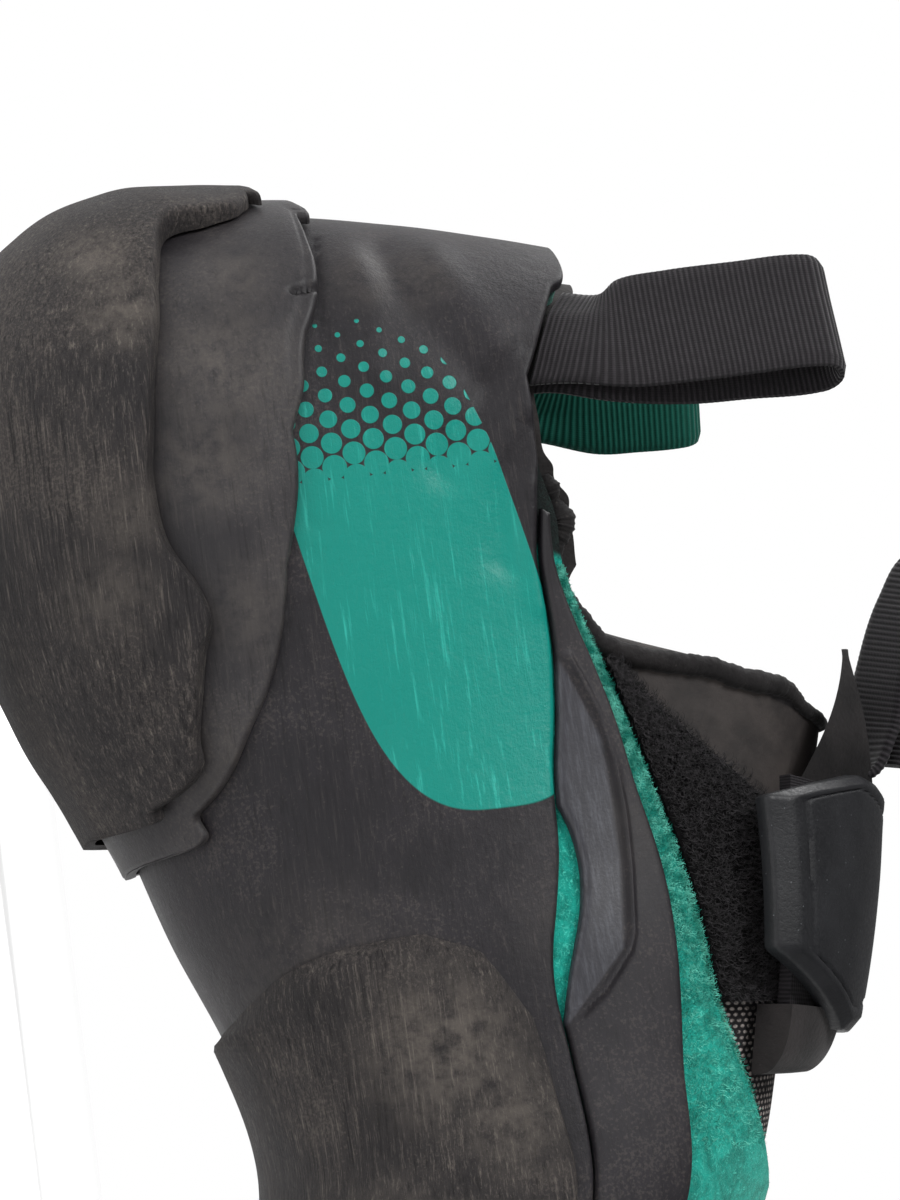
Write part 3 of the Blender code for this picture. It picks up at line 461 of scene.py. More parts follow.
# Materials
class Look:
    """A material with its Principled shader, and short ways to add nodes."""

    def __init__(self, name, roughness=0.6, **fixed):
        self.material = bpy.data.materials.new(name)
        self.material.use_nodes = True
        self.tree = self.material.node_tree
        self.shader = self.tree.nodes["Principled BSDF"]
        self.shader.inputs["Roughness"].default_value = roughness
        for key, value in fixed.items():
            self.shader.inputs[key.replace("_", " ")].default_value = value
        self.place = self.add("ShaderNodeTexCoord").outputs["Object"]
        self.grid = self.add("ShaderNodeUVMap", uv_map="grid").outputs["UV"]

    def add(self, kind, values=(), **properties):
        node = self.tree.nodes.new(kind)
        for key, value in properties.items():
            setattr(node, key, value)
        for key, value in dict(values).items():
            if isinstance(value, bpy.types.NodeSocket):
                self.tree.links.new(value, node.inputs[key])
            else:
                node.inputs[key].default_value = value
        return node

    def scaled(self, scale, turn=(0, 0, 0), source=None):
        return self.add("ShaderNodeMapping", {
            "Vector": self.place if source is None else source, "Scale": scale, "Rotation": turn,
        }).outputs[0]

    def noise(self, scale, detail=3.0, rough=0.55, source=None, distortion=0.0):
        return self.add("ShaderNodeTexNoise", {
            "Vector": self.place if source is None else source, "Scale": scale, "Detail": detail,
            "Roughness": rough, "Distortion": distortion,
        }).outputs["Fac"]

    def cells(self, scale, source=None, feature="F1", out="Distance", randomness=1.0):
        return self.add("ShaderNodeTexVoronoi", {
            "Vector": self.place if source is None else source, "Scale": scale, "Randomness": randomness,
        }, feature=feature).outputs[out]

    def ramp(self, value, low, high, out_low=0.0, out_high=1.0, smooth=True):
        return self.add("ShaderNodeMapRange", {
            "Value": value, "From Min": low, "From Max": high, "To Min": out_low, "To Max": out_high,
        }, interpolation_type="SMOOTHSTEP" if smooth else "LINEAR").outputs["Result"]

    def math(self, operation, a, b=0.0, c=0.0):
        node = self.add("ShaderNodeMath", operation=operation)
        for n, value in enumerate((a, b, c)):
            if isinstance(value, bpy.types.NodeSocket):
                self.tree.links.new(value, node.inputs[n])
            else:
                node.inputs[n].default_value = value
        return node.outputs[0]

    def times(self, a, b):
        return self.math("MULTIPLY", a, b)

    def plus(self, a, b):
        return self.math("ADD", a, b)

    def less(self, a, b):
        return self.math("SUBTRACT", a, b)

    def mix(self, share, a, b):
        node = self.add("ShaderNodeMix", data_type="RGBA")
        for n, value in ((0, share), (6, a), (7, b)):
            if isinstance(value, bpy.types.NodeSocket):
                self.tree.links.new(value, node.inputs[n])
            else:
                node.inputs[n].default_value = value if n == 0 else (*value, 1.0)
        return node.outputs[2]

    def axes(self, source=None):
        node = self.add("ShaderNodeSeparateXYZ", {"Vector": self.place if source is None else source})
        return node.outputs[0], node.outputs[1], node.outputs[2]

    def bump(self, height, distance, strength=1.0, after=None):
        values = {"Height": height, "Distance": distance, "Strength": strength}
        if after is not None:
            values["Normal"] = after
        return self.add("ShaderNodeBump", values).outputs["Normal"]

    def finish(self, colour=None, roughness=None, normal=None, **others):
        sockets = {"Base Color": colour, "Roughness": roughness, "Normal": normal}
        sockets.update({key.replace("_", " "): value for key, value in others.items()})
        for key, value in sockets.items():
            if isinstance(value, bpy.types.NodeSocket):
                self.tree.links.new(value, self.shader.inputs[key])
        return self.material

    def spot(self, y, z, radius, soft=1.0):
        """A soft round spot on the outer side: 1 at its centre, 0 past its radius. Millimetres of Y and Z."""
        _, py, pz = self.axes()
        dy = self.less(py, y * MM)
        dz = self.less(pz, z * MM)
        far = self.math("SQRT", self.plus(self.times(dy, dy), self.times(dz, dz)))
        return self.ramp(far, radius * MM, radius * MM * (1 - soft))


BLACK = (0.0080, 0.0070, 0.0088)
BLACK_LIGHT = (0.0150, 0.0132, 0.0160)
# The dust colour also paints highlights in the rubber's spots.
DUST_AND_HIGHLIGHT = (0.078, 0.068, 0.060)
TEAL = (0.0002, 0.165, 0.132)
# The next colour is the lighter teal of the print's painted highlight streaks.
TEAL_HIGHLIGHT = (0.03, 0.36, 0.30)


def rubber_detail(look, streak=0.5, dust_and_highlight_strength=0.3, dust_and_highlight_spots=(), base=BLACK, light=BLACK_LIGHT, dust_and_highlight=DUST_AND_HIGHLIGHT):
    """Colour, roughness and bump of worn rubber: cloudy, grained, streaked along the shoe, and dusty in spots that
    are partly painted highlights.
    """
    cloud = look.noise(70, 4, 0.6)
    grain = look.noise(2600, 2, 0.6)
    drawn = look.noise(1.0, 6, 0.78, look.scaled((2300, 105, 2300), (0.10, 0, 0)))
    fine = look.noise(1.0, 4, 0.7, look.scaled((6200, 240, 6200), (-0.12, 0, 0)))
    colour = look.mix(look.ramp(cloud, 0.35, 0.70), base, light)
    colour = look.mix(look.times(look.ramp(drawn, 0.53, 0.72), streak), colour, dust_and_highlight)
    colour = look.mix(look.times(look.ramp(fine, 0.56, 0.74), streak * 0.75), colour, dust_and_highlight)
    pits = look.times(look.ramp(look.times(grain, look.ramp(cloud, 0.2, 0.8, 0.7, 1.2)), 0.50, 0.72), 0.28)
    colour = look.mix(pits, colour, dust_and_highlight)
    dark = look.times(look.ramp(drawn, 0.48, 0.36), min(0.3 + streak, 0.9))
    colour = look.mix(dark, colour, (base[0] * 0.4, base[1] * 0.4, base[2] * 0.4))
    # The spots get the dust colour: partly dust, partly painted highlights where light falls on the rubber.
    if dust_and_highlight_spots:
        total = None
        for y, z, radius, strength in dust_and_highlight_spots:
            here = look.times(look.spot(y, z, radius), strength)
            total = here if total is None else look.math("MAXIMUM", total, here)
        broken = look.times(total, look.ramp(look.noise(420, 5, 0.7), 0.26, 0.66))
        colour = look.mix(look.times(broken, dust_and_highlight_strength), colour, dust_and_highlight)
    specks = look.times(look.ramp(look.cells(900), 0.09, 0.03), 0.30)
    colour = look.mix(specks, colour, dust_and_highlight)
    rough = look.ramp(look.plus(look.times(cloud, 0.6), look.times(grain, 0.4)), 0.3, 0.7)
    height = look.plus(look.times(drawn, streak), look.times(grain, 0.35))
    height = look.plus(height, look.times(fine, streak * 0.6))
    return colour, rough, height, drawn, grain


def rand_look():
    look = Look("rand rubber", 0.55, Specular_IOR_Level=0.22)
    # Spots in the dust colour, partly dust, partly painted highlights: the two at the collar are painted
    # highlights on its folds.
    dust_and_highlight_spots = ((62, 33, 16, 0.5), (-13, 47, 7, 0.5), (-12, 53, 6, 0.6), (58, 58, 9, 0.3), (75, 45, 10, 0.3))
    colour, rough, height, drawn, grain = rubber_detail(look, 0.30, 0.5, dust_and_highlight_spots)
    x, y, z = look.axes()
    teal = look.times(print_mask(look, y, z), look.ramp(x, 2 * MM, 4 * MM))
    # Lighter teal streaks on the glossy print are painted highlights.
    streaks = look.noise(1.0, 4, 0.7, look.scaled((1500, 60, 1500), (0.08, 0, 0)))
    painted_highlight_streaks = look.times(look.ramp(streaks, 0.54, 0.72), 0.5)
    print_colour = look.mix(painted_highlight_streaks, TEAL, TEAL_HIGHLIGHT)
    print_colour = look.mix(look.times(look.ramp(drawn, 0.62, 0.75), 0.4), print_colour, (0.0, 0.13, 0.095))
    colour = look.mix(teal, colour, print_colour)
    roughness = look.ramp(rough, 0, 1, 0.47, 0.66, False)
    roughness = look.math("MULTIPLY_ADD", teal, look.less(0.40, roughness), roughness)
    pebble = look.cells(820, feature="SMOOTH_F1")
    leather = look.plus(look.times(pebble, 0.9), look.noise(700, 4, 0.65))
    height = look.plus(height, look.times(leather, 0.35))
    height = look.plus(height, look.times(teal, 0.25))
    return look.finish(colour, roughness, look.bump(height, 0.14 * MM, 0.85))


def print_mask(look, y, z):
    """The printed panel: a rounded field that breaks into round dots towards the heel. 1 where it is printed."""
    u = look.math("DIVIDE", look.less(y, 19 * MM), 27 * MM)
    v = look.math("DIVIDE", look.less(z, look.math("MULTIPLY_ADD", y, 0.20, 44.5 * MM)), 12 * MM)
    u3 = look.math("POWER", look.math("ABSOLUTE", u), 3.2)
    v3 = look.math("POWER", look.math("ABSOLUTE", v), 3.2)
    field = look.ramp(look.plus(u3, v3), 1.012, 0.988, smooth=False)
    pitch = 2.6 * MM
    far = None
    for offset in (0.0, 0.5):
        a = look.less(look.math("FRACT", look.math("MULTIPLY_ADD", y, 1 / pitch, 100 + offset)), 0.5)
        b = look.less(look.math("FRACT", look.math("MULTIPLY_ADD", z, 1 / (1.732 * pitch), 100 + offset)), 0.5)
        b = look.times(b, 1.732)
        here = look.math("SQRT", look.plus(look.times(a, a), look.times(b, b)))
        far = here if far is None else look.math("MINIMUM", far, here)
    size = look.ramp(y, -7 * MM, 12 * MM, 0.10, 0.62, False)
    dots = look.ramp(look.less(far, size), 0.012, -0.012, smooth=False)
    return look.times(field, dots)


def cup_look():
    look = Look("heel cup rubber", 0.5, Specular_IOR_Level=0.25)
    # Spots in the dust colour over the middle of the cup: dust, and painted highlights where its bulge catches the
    # light.
    dust_and_highlight_spots = ((-4, 30, 11, 0.8), (6, 27, 9, 0.7), (22, 30, 9, 0.5), (38, 26, 9, 0.4), (-14, 33, 7, 0.5))
    colour, rough, height, _, _ = rubber_detail(
        look, 0.25, 0.7, dust_and_highlight_spots, (0.0125, 0.0112, 0.0130), (0.028, 0.0255, 0.0270))
    return look.finish(colour, look.ramp(rough, 0, 1, 0.45, 0.62, False), look.bump(height, 0.12 * MM, 0.8))


def sole_look():
    look = Look("sole rubber", 0.8, Specular_IOR_Level=0.22)
    # Spots in the dust colour on the heel block and the forefoot: dust, and painted highlights where these faces
    # catch the light.
    dust_and_highlight_spots = ((-11, 20, 7, 0.9), (-18, 18, 6, 0.8), (11, 18, 7, 0.5), (19, 15, 8, 0.5), (70, 44, 13, 1.0),
             (78, 50, 10, 0.8), (92, 36, 14, 0.7))
    colour, rough, height, _, _ = rubber_detail(
        look, 0.85, 0.6, dust_and_highlight_spots, (0.0135, 0.0118, 0.0125), (0.027, 0.0235, 0.0230), (0.120, 0.104, 0.090),
    )
    return look.finish(colour, look.ramp(rough, 0, 1, 0.66, 0.86, False), look.bump(height, 0.26 * MM, 0.9))


def band_look():
    """The strip's rubber is matt. Its sunk panel under the bead is smooth and glossier, and painted paler with a
    painted sheen.
    """
    look = Look("side band rubber", 0.5, Specular_IOR_Level=0.25)
    colour, rough, height, drawn, _ = rubber_detail(
        look, 0.12, 0.35, ((50, 68, 9, 0.3),), (0.0080, 0.0070, 0.0088), (0.0150, 0.0132, 0.0160))
    _, y, z = look.axes()
    top = look.math("MULTIPLY_ADD", y, 0.369, 51.1 * MM)
    for slope, start in ((0.0, 65.9), (-0.118, 72.1), (-1.02, 128.3)):
        top = look.math("MINIMUM", top, look.math("MULTIPLY_ADD", y, slope, start * MM))
    panel = look.ramp(look.less(top, z), 0.3 * MM, 0.8 * MM)
    panel = look.times(panel, look.ramp(y, 30 * MM, 33 * MM))
    # The panel's paler colour is a painted sheen, lighter along the streaks.
    sheen = look.mix(look.ramp(drawn, 0.42, 0.66), (0.026, 0.026, 0.031), (0.050, 0.051, 0.060))
    colour = look.mix(look.times(panel, 0.85), colour, sheen)
    roughness = look.ramp(rough, 0, 1, 0.46, 0.64, False)
    roughness = look.math("MULTIPLY_ADD", panel, look.less(0.36, roughness), roughness)
    return look.finish(colour, roughness, look.bump(height, 0.05 * MM, 0.8))


def suede_look():
    look = Look("teal suede", 0.95, Specular_IOR_Level=0.2, Sheen_Weight=0.3, Sheen_Roughness=0.45,
                Sheen_Tint=(0.35, 0.9, 0.75, 1.0))
    patchy = look.noise(330, 5, 0.7, distortion=0.6)
    nap = look.noise(1900, 4, 0.75, distortion=1.5)
    colour = look.mix(look.ramp(patchy, 0.34, 0.66), (0.001, 0.150, 0.115), (0.008, 0.300, 0.235))
    colour = look.mix(look.times(look.ramp(nap, 0.50, 0.72), 0.75), colour, (0.09, 0.58, 0.46))
    colour = look.mix(look.times(look.ramp(nap, 0.42, 0.28), 0.6), colour, (0.0, 0.07, 0.052))
    ankle = look.ramp(look.axes(look.grid)[1], 14.25 * 14, 14.4 * 14)
    colour = look.mix(ankle, colour, (0.0065, 0.006, 0.0065))
    height = look.plus(look.times(nap, 0.7), look.times(patchy, 0.5))
    return look.finish(colour, None, look.bump(height, 0.30 * MM, 1.0))


def fibre_look(name, dark, light, scale=900, roughness=0.8):
    look = Look(name, roughness, Specular_IOR_Level=0.3)
    return look.finish(look.mix(look.ramp(look.noise(scale, 2, 0.5), 0.35, 0.65), dark, light))


RIB = 0.62


def webbing_look(name, dark, light):
    """Ribbed webbing: rib tops catch the light, and threads run along each rib."""
    look = Look(name, 0.75, Specular_IOR_Level=0.22, Sheen_Weight=0.12, Sheen_Roughness=0.4)
    u, v, _ = look.axes(look.grid)
    rib = look.math("SINE", look.times(v, 2 * math.pi / RIB))
    thread = look.math("SINE", look.times(u, 2 * math.pi / 0.30))
    odd = look.noise(1100, 3, 0.6)
    top = look.times(look.ramp(rib, -0.5, 0.9), look.ramp(odd, 0.25, 0.75, 0.55, 1.0))
    colour = look.mix(top, dark, light)
    height = look.plus(look.times(rib, 0.5), look.times(thread, 0.16))
    height = look.plus(height, look.times(odd, 0.3))
    return look.finish(colour, look.ramp(top, 0, 1, 0.85, 0.68, False), look.bump(height, 0.07 * MM, 0.8))


def knit_look():
    """Black knit with pale dots in offset rows, and smooth lining with a velvet rim behind the strap."""
    look = Look("tongue knit", 0.9, Specular_IOR_Level=0.25)
    u, v, _ = look.axes(look.grid)
    row = look.math("DIVIDE", v, 0.8)
    shift = look.times(look.math("MODULO", look.math("FLOOR", look.plus(row, 1000)), 2.0), 0.5)
    across = look.plus(look.math("DIVIDE", u, 1.05), look.plus(shift, 1000))
    a = look.less(look.math("FRACT", across), 0.5)
    b = look.less(look.math("FRACT", look.plus(row, 1000)), 0.5)
    far = look.math("SQRT", look.plus(look.times(a, a), look.times(b, b)))
    dots = look.ramp(far, 0.40, 0.22)
    odd = look.noise(900, 3, 0.7)
    knit = look.mix(look.times(dots, look.ramp(odd, 0.3, 0.6)), (0.010, 0.009, 0.010), (0.36, 0.32, 0.30))
    smooth = look.ramp(v, 11.5 * 14, 11.8 * 14)
    cloud = look.noise(160, 4, 0.6)
    lining = look.mix(look.ramp(cloud, 0.3, 0.7), (0.014, 0.0120, 0.0115), (0.034, 0.0285, 0.0265))
    rim = look.ramp(v, (TONGUE_RIM - 0.42) * 14, (TONGUE_RIM - 0.36) * 14)
    lining = look.mix(rim, lining, look.mix(odd, (0.004, 0.004, 0.004), (0.016, 0.014, 0.015)))
    colour = look.mix(smooth, knit, lining)
    height = look.plus(look.times(dots, look.less(1.0, smooth)), look.times(odd, 0.4))
    return look.finish(colour, look.ramp(smooth, 0, 1, 0.9, 0.68), look.bump(height, 0.22 * MM, 0.8))


def lining_look(name, dark, light):
    look = Look(name, 0.85, Specular_IOR_Level=0.15, Sheen_Weight=0.06, Sheen_Roughness=0.5)
    cloud = look.noise(140, 4, 0.6)
    grain = look.noise(1800, 3, 0.65)
    colour = look.mix(look.ramp(cloud, 0.3, 0.7), dark, light)
    colour = look.mix(look.times(look.ramp(look.cells(700), 0.1, 0.03), 0.3), colour, DUST_AND_HIGHLIGHT)
    return look.finish(colour, look.ramp(grain, 0.3, 0.7, 0.7, 0.9), look.bump(grain, 0.12 * MM, 0.9))


def tab_look():
    look = Look("tab rubber", 0.5, Specular_IOR_Level=0.25)
    cloud = look.noise(110, 4, 0.6)
    grain = look.noise(2200, 3, 0.65)
    colour = look.mix(look.ramp(cloud, 0.3, 0.7), (0.0065, 0.0068, 0.008), (0.0125, 0.0128, 0.0145))
    colour = look.mix(look.times(look.ramp(look.cells(800), 0.08, 0.02), 0.5), colour, (0.16, 0.17, 0.18))
    return look.finish(colour, look.ramp(grain, 0.3, 0.7, 0.38, 0.58), look.bump(grain, 0.05 * MM, 0.8))


def pile_look():
    look = Look("pile ground", 1.0, Specular_IOR_Level=0.15)
    odd = look.noise(1300, 3, 0.7)
    return look.finish(look.mix(look.ramp(odd, 0.35, 0.7), (0.001, 0.001, 0.001), (0.003, 0.0027, 0.003)), None,
                       look.bump(odd, 0.4 * MM, 1.0))


def board_look():
    look = Look("insole board", 0.9, Specular_IOR_Level=0.2)
    fibres = look.noise(1.0, 4, 0.7, look.scaled((900, 2600, 900)))
    colour = look.mix(look.ramp(fibres, 0.35, 0.65), (0.16, 0.145, 0.125), (0.30, 0.275, 0.24))
    return look.finish(colour, None, look.bump(fibres, 0.1 * MM, 0.8))


def dress(body, look, slot, *nodes):
    body.data.materials.clear()
    body.data.materials.append(look)
    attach(body, "root")
    if nodes:
        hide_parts(*nodes)
    return body


# Upper, rand
upper_top = edge(UPPER_TOP)
rand_top = edge(RAND_TOP)
band_top = edge(BAND_TOP)


def upper_depth(station, turn, points):
    """The suede face. Its cut edge is two layers: the top one stops short of the other."""
    top = np.where(station <= THROAT, HALF_TURN, upper_top(station))
    away = (top - np.abs(turn)) * 25
    lifted = smooth_step(1.5, 1.1, away) * smooth_step(8.3, 9.2, station) * smooth_step(14.5, 12.5, station)
    wave = 0.12 * np.sin(station * 23) + 0.08 * np.sin(station * 61)
    return MM * (-0.55 * lifted + 0.06 * wave)


def make_upper():
    """The hollow shell, outside and inside: two sides that meet over the toes, and a floor strip at the heel."""
    rows = stations_between(TOE_END, UPPER_TOP[-1].station, 0.085)
    rim = np.where(rows <= THROAT, HALF_TURN, upper_top(rows))
    opening = np.clip((rows - 1.2) / 0.6, 0, 1) * np.clip((15.6 - rows) / 0.6, 0, 1)
    low = np.minimum(0.36 * opening, rim)
    side = spread(low, rim, 56, RIM)
    turns = np.concatenate([-side[:, ::-1], side], axis=1)
    station = np.repeat(rows[:, None], turns.shape[1], axis=1)
    outside = skin(station, turns, upper_depth(station, turns, None))
    inside = skin(station, turns, -UPPER_WALL)
    uv = np.stack([turns * 25, station * 14], axis=-1)
    split = [opening[i] > 0 and opening[i + 1] > 0 for i in range(len(rows) - 1)]
    return two_sides("suede_upper", outside, inside, uv, split)


# Lines that the photo shows on the outer side, in millimetres of Y and Z
CUP_LIP = [(-17.4, 42.4), (-11.3, 41.8), (-4.0, 40.9), (4.1, 39.8), (13.4, 37.8), (19.2, 35.6), (24.7, 33.0)]
CUP_NOTCH = [(-10.1, 38.6), (-10.7, 41.6)]
# Folds: line, half width and height in mm, below zero for a trough
COLLAR_FOLDS = (
    ([(-15.0, 49.0), (-10.0, 50.6), (-5.0, 53.7), (0.5, 57.5)], 2.3, -0.75),
    ([(-2.5, 62.5), (3.0, 57.0), (9.5, 52.0)], 2.0, -0.60),
    ([(6.0, 62.0), (12.0, 58.5), (20.0, 57.0)], 1.6, -0.55),
    ([(-13.5, 46.0), (-9.0, 46.5), (-2.0, 46.0)], 2.4, 0.45),
    ([(-14.0, 54.5), (-10.0, 56.0), (-4.0, 60.0)], 2.4, 0.45),
    ([(12.0, 61.0), (19.0, 60.0), (25.0, 60.5)], 1.2, 0.30),
    ([(38.0, 40.0), (52.0, 37.0), (62.0, 31.0)], 5.0, -0.45),
    ([(52.0, 55.0), (66.0, 51.0)], 4.0, 0.30),
)


def rand_depth(station, turn, points):
    depth = np.full(station.shape, RAND_OUT)
    for line, width, height in COLLAR_FOLDS:
        depth = depth + fold(points, line, width, height)
    seam = line_distance(points, CUP_LIP)
    depth -= MM * 0.30 * np.exp(-(seam / 0.26) ** 2) * (points[..., 0] > 0)
    across, _ = edge_distance(points)
    return depth - rounded(across, 0.7, 0.5 * MM)


def make_rand():
    rows = stations_between(TOE_END, RAND_TOP[-1].station, 0.055)
    turns = spread(-rand_top(rows), rand_top(rows), 176, RIM)
    return shell("rubber_rand", rows, turns, rand_depth, RAND_IN, floor=True)


# Heel cup, heel sole, outsole
def cup_end(station):
    return smooth_step(CUP_TOP[-1].station, CUP_TOP[-1].station - 1.6, station)


def make_cup():
    top = edge(CUP_TOP)
    start, end = CUP_TOP[0].station, CUP_TOP[-1].station
    rows = stations_between(start, end, 0.035, ROW_RIM)
    turns = spread(-top(rows), top(rows), 170, RIM)

    def depth(station, turn, points):
        reach = np.maximum(top(station), 1e-3)
        middle = 1 - np.clip(np.abs(turn) / reach, 0, 1) ** 3
        ends = smooth_step(start, start + 1.2, station) * cup_end(station)
        near = border_distance(points)
        soft = 0.25 * MM * smooth_step(0.0, 5.0, near)
        notch = 0.9 * MM * np.exp(-(line_distance(points, CUP_NOTCH) / 0.33) ** 2) * (points[..., 0] > 0)
        soft = soft - notch - 0.16 * MM * np.exp(-((near - 1.3) / 0.35) ** 2)
        return CUP_OUT + CUP_BULGE * middle * ends - 0.25 * MM + soft - rounded(near, 0.8, 0.6 * MM)

    return shell("heel_cup_panel", rows, turns, depth, CUP_IN, floor=True)


def make_heel_sole():
    top = edge(BLOCK_TOP)
    start, end = BLOCK_TOP[0].station, BLOCK_TOP[-1].station
    rows = stations_between(start, end, 0.035, ROW_RIM)
    turns = spread(-top(rows), top(rows), 170, RIM)

    def under(station, turn):
        return BLOCK_IN - CUP_BULGE * (1 - cup_end(station))

    def depth(station, turn, points):
        swell = smooth_step(start, start + 1.7, station) * smooth_step(end, end - 1.2, station)
        wall = BLOCK_TIP_WALL + (BLOCK_WALL - BLOCK_TIP_WALL) * swell
        near = border_distance(points)
        worn = 0.10 * np.sin(points[..., 1] / MM * 0.35 + points[..., 0] / MM * 0.5)
        worn = worn + 0.08 * np.sin(points[..., 1] / MM * 0.9 - points[..., 2] / MM * 0.7)
        face = under(station, turn) + wall
        return face - rounded(near, 0.9, 0.8 * MM) + worn * MM * smooth_step(1, 4, near) * 0.6

    return shell("heel_rubber", rows, turns, depth, under, floor=True)


def make_outsole():
    outer, inner = edge(OUTSOLE_OUTER), edge(OUTSOLE_INNER)
    end = OUTSOLE_OUTER[-1].station
    rows = np.concatenate([np.arange(0, 6.5, 0.11), np.arange(6.5, 9.6, 0.05), np.arange(9.6, end, 0.015), [end]])
    turns = spread(inner(rows), outer(rows), 150, RIM)

    def depth(station, turn, points):
        wall = OUTSOLE_WALL - (OUTSOLE_WALL - OUTSOLE_TIP_WALL) * smooth_step(5.0, 8.3, station)
        side = smooth_step(0.9, 1.7, np.abs(turn)) * (1 - OUTSOLE_TIP_WALL / OUTSOLE_WALL)
        across, _ = edge_distance(points)
        full = OUTSOLE_IN + np.maximum(wall * (1 - side), OUTSOLE_TIP_WALL)
        worn = 0.12 * np.sin(points[..., 1] / MM * 0.22 + points[..., 2] / MM * 0.3)
        full = full - rounded(across, 1.1, 0.8 * MM) + worn * MM * smooth_step(1, 5, across) * 0.5
        rear = smooth_step(8.4, 9.2, station)
        inward = np.minimum(across, rear_distance(points))
        thin = RAND_OUT + 0.12 * MM + (full - RAND_OUT) * smooth_step(-1.0, 6.5, inward)
        return full * (1 - rear) + thin * rear

    def rear_distance(points):
        gap = points - points[-1, points.shape[1] // 2]
        return np.linalg.norm(gap, axis=-1) / MM

    return shell("fore_rubber", rows, turns, depth, lambda s, t: RAND_OUT + 0.05 * MM + 0 * s, floor=True)


# Side bands and toe patch
BEAD = [(30.9, 62.5), (33.6, 63.6), (37.4, 64.9), (42.6, 65.8), (48.4, 66.0), (54.2, 65.7), (61.0, 64.9),
        (62.8, 64.2), (66.5, 61.0), (68.3, 58.6)]
SLOT_Y = (46.5, 69.0)
SLOT_TURN = 0.055


def make_band(name, side):
    """The strip over the rand. A lens-shaped slot under it shows the suede, and a bead frames a sunk panel."""
    end = BAND_TOP[-1].station
    rows = stations_between(BAND_TOP[0].station, end, 0.04, ROW_RIM)
    y = last(rows, rand_top(rows))[:, 1] / MM
    share = np.clip((y - SLOT_Y[0]) / (SLOT_Y[1] - SLOT_Y[0]), 0, 1)
    slot = SLOT_TURN * np.sin(math.pi * share) ** 0.8
    top = band_top(rows)
    foot = np.minimum(rand_top(rows) + 0.007 + slot, top - 0.012)
    turns = spread(foot, top, 84, RIM[:5])

    def depth(station, turn, points):
        far = line_distance(points, BEAD)
        low_side = points[..., 2] / MM < np.interp(points[..., 1] / MM, [p[0] for p in BEAD], [p[1] for p in BEAD])
        inside = low_side & (points[..., 1] > 30.9 * MM) & (points[..., 1] < 68.3 * MM)
        sunk = np.where(inside, smooth_step(0.1, 0.7, far), 0.0)
        bead = np.exp(-(far / 0.34) ** 2) * (points[..., 1] > 29 * MM)
        near = border_distance(points)
        return BAND_IN + BAND_WALL + MM * (0.34 * bead - 0.50 * sunk) - rounded(near, 0.7, 0.6 * MM)

    return shell(name, rows, turns if side > 0 else -turns, depth, BAND_IN)


def make_patch():
    rows = stations_between(PATCH_FRONT, PATCH_BACK, 0.08, ROW_RIM)
    rounding = turn_of(PATCH_BACK, PATCH_CORNER) - turn_of(PATCH_BACK, 0.55)
    foot = rand_top(rows) + 0.13 + rounding * smooth_step(PATCH_BACK - 1.3, PATCH_BACK, rows)
    turns = spread(foot, 2 * HALF_TURN - foot, 120, RIM)

    def depth(station, turn, points):
        return RAND_OUT - rounded(border_distance(points), 0.8, 0.6 * MM)

    return shell("toe_rubber", rows, turns, depth, RAND_IN)


# Tongue, collar, closure
def make_tongue():
    """The arched tongue. Its rear rim is rolled, and lies further forward low on the sides."""
    rows = stations_between(TONGUE_FRONT, TONGUE_RIM, 0.05, ROW_RIM)
    low = edge(UPPER_TOP, raised=-TONGUE_TUCK)(rows)
    turns = spread(low, 2 * HALF_TURN - low, 130, RIM)
    share = smooth_step(12.2, TONGUE_RIM, rows)[:, None]
    aside = smooth_step(0.45, 1.05, np.abs(turns - HALF_TURN))
    stations = rows[:, None] - 0.55 * share * aside

    def depth(station, turn, points):
        back = (TONGUE_RIM - 0.55 * aside - station) * 8.5
        roll = 0.55 * MM * bump_at(back, 1.5, 1.1)
        return -TONGUE_DEPTH + np.minimum(roll, 0.4 * MM) - rounded(border_distance(points), 0.9, 0.7 * MM)

    return shell("knit_tongue", stations, turns, depth, -TONGUE_DEPTH - TONGUE_WALL, closed=True)


def make_collar():
    knots = [node for node in UPPER_TOP if 14 <= node.station <= 19]
    rise = [Node(node.station, node.height + COLLAR_STAND) for node in knots]
    rise += [Node(19.7, 0.130), Node(20.3, 0.050), Node(COLLAR_END, 0.0)]
    drop = [Node(node.station, node.height - COLLAR_TUCK) for node in knots[:-1]]
    drop += [Node(19, 0.075), Node(19.6, 0.02), Node(COLLAR_END, 0.0)]
    rim, hem = edge(rise), edge(drop)
    rows = np.concatenate([np.arange(TONGUE_RIM - 0.45, 18.5, 0.03), np.arange(18.5, COLLAR_END, 0.02),
                           [COLLAR_END]])
    side = spread(np.maximum(hem(rows), 0.0), np.maximum(rim(rows), 0.0), 26, RIM)
    turns = np.concatenate([-side[:, ::-1], side], axis=1)
    count = side.shape[1]
    station = np.repeat(rows[:, None], turns.shape[1], axis=1)
    inner_depth = -UPPER_WALL - GAP - COLLAR_WALL
    outer_depth = -UPPER_WALL - GAP
    share = np.concatenate([np.linspace(1, 0, count), np.linspace(0, 1, count)])[None, :]
    roll = 0.5 * MM * bump_at(share, 0.86, 0.12)
    wrinkle = 0.25 * MM * np.sin(station * 9.0) * share ** 2
    lip = bump_at(station, 15.45, 0.22) + 0.6 * bump_at(station, 16.0, 0.16)
    lip = 0.9 * MM * lip * smooth_step(0.75, 1.0, share)
    outside = skin(station, turns, outer_depth + 0 * station)
    outside[..., 2] += lip
    inside = skin(station, turns, inner_depth - roll + wrinkle)
    inside[..., 2] += lip
    uv = np.stack([turns * 25, station * 14], axis=-1)
    return two_sides("ankle_band", outside, inside, uv, rows < COLLAR_SPLIT, ends=True)


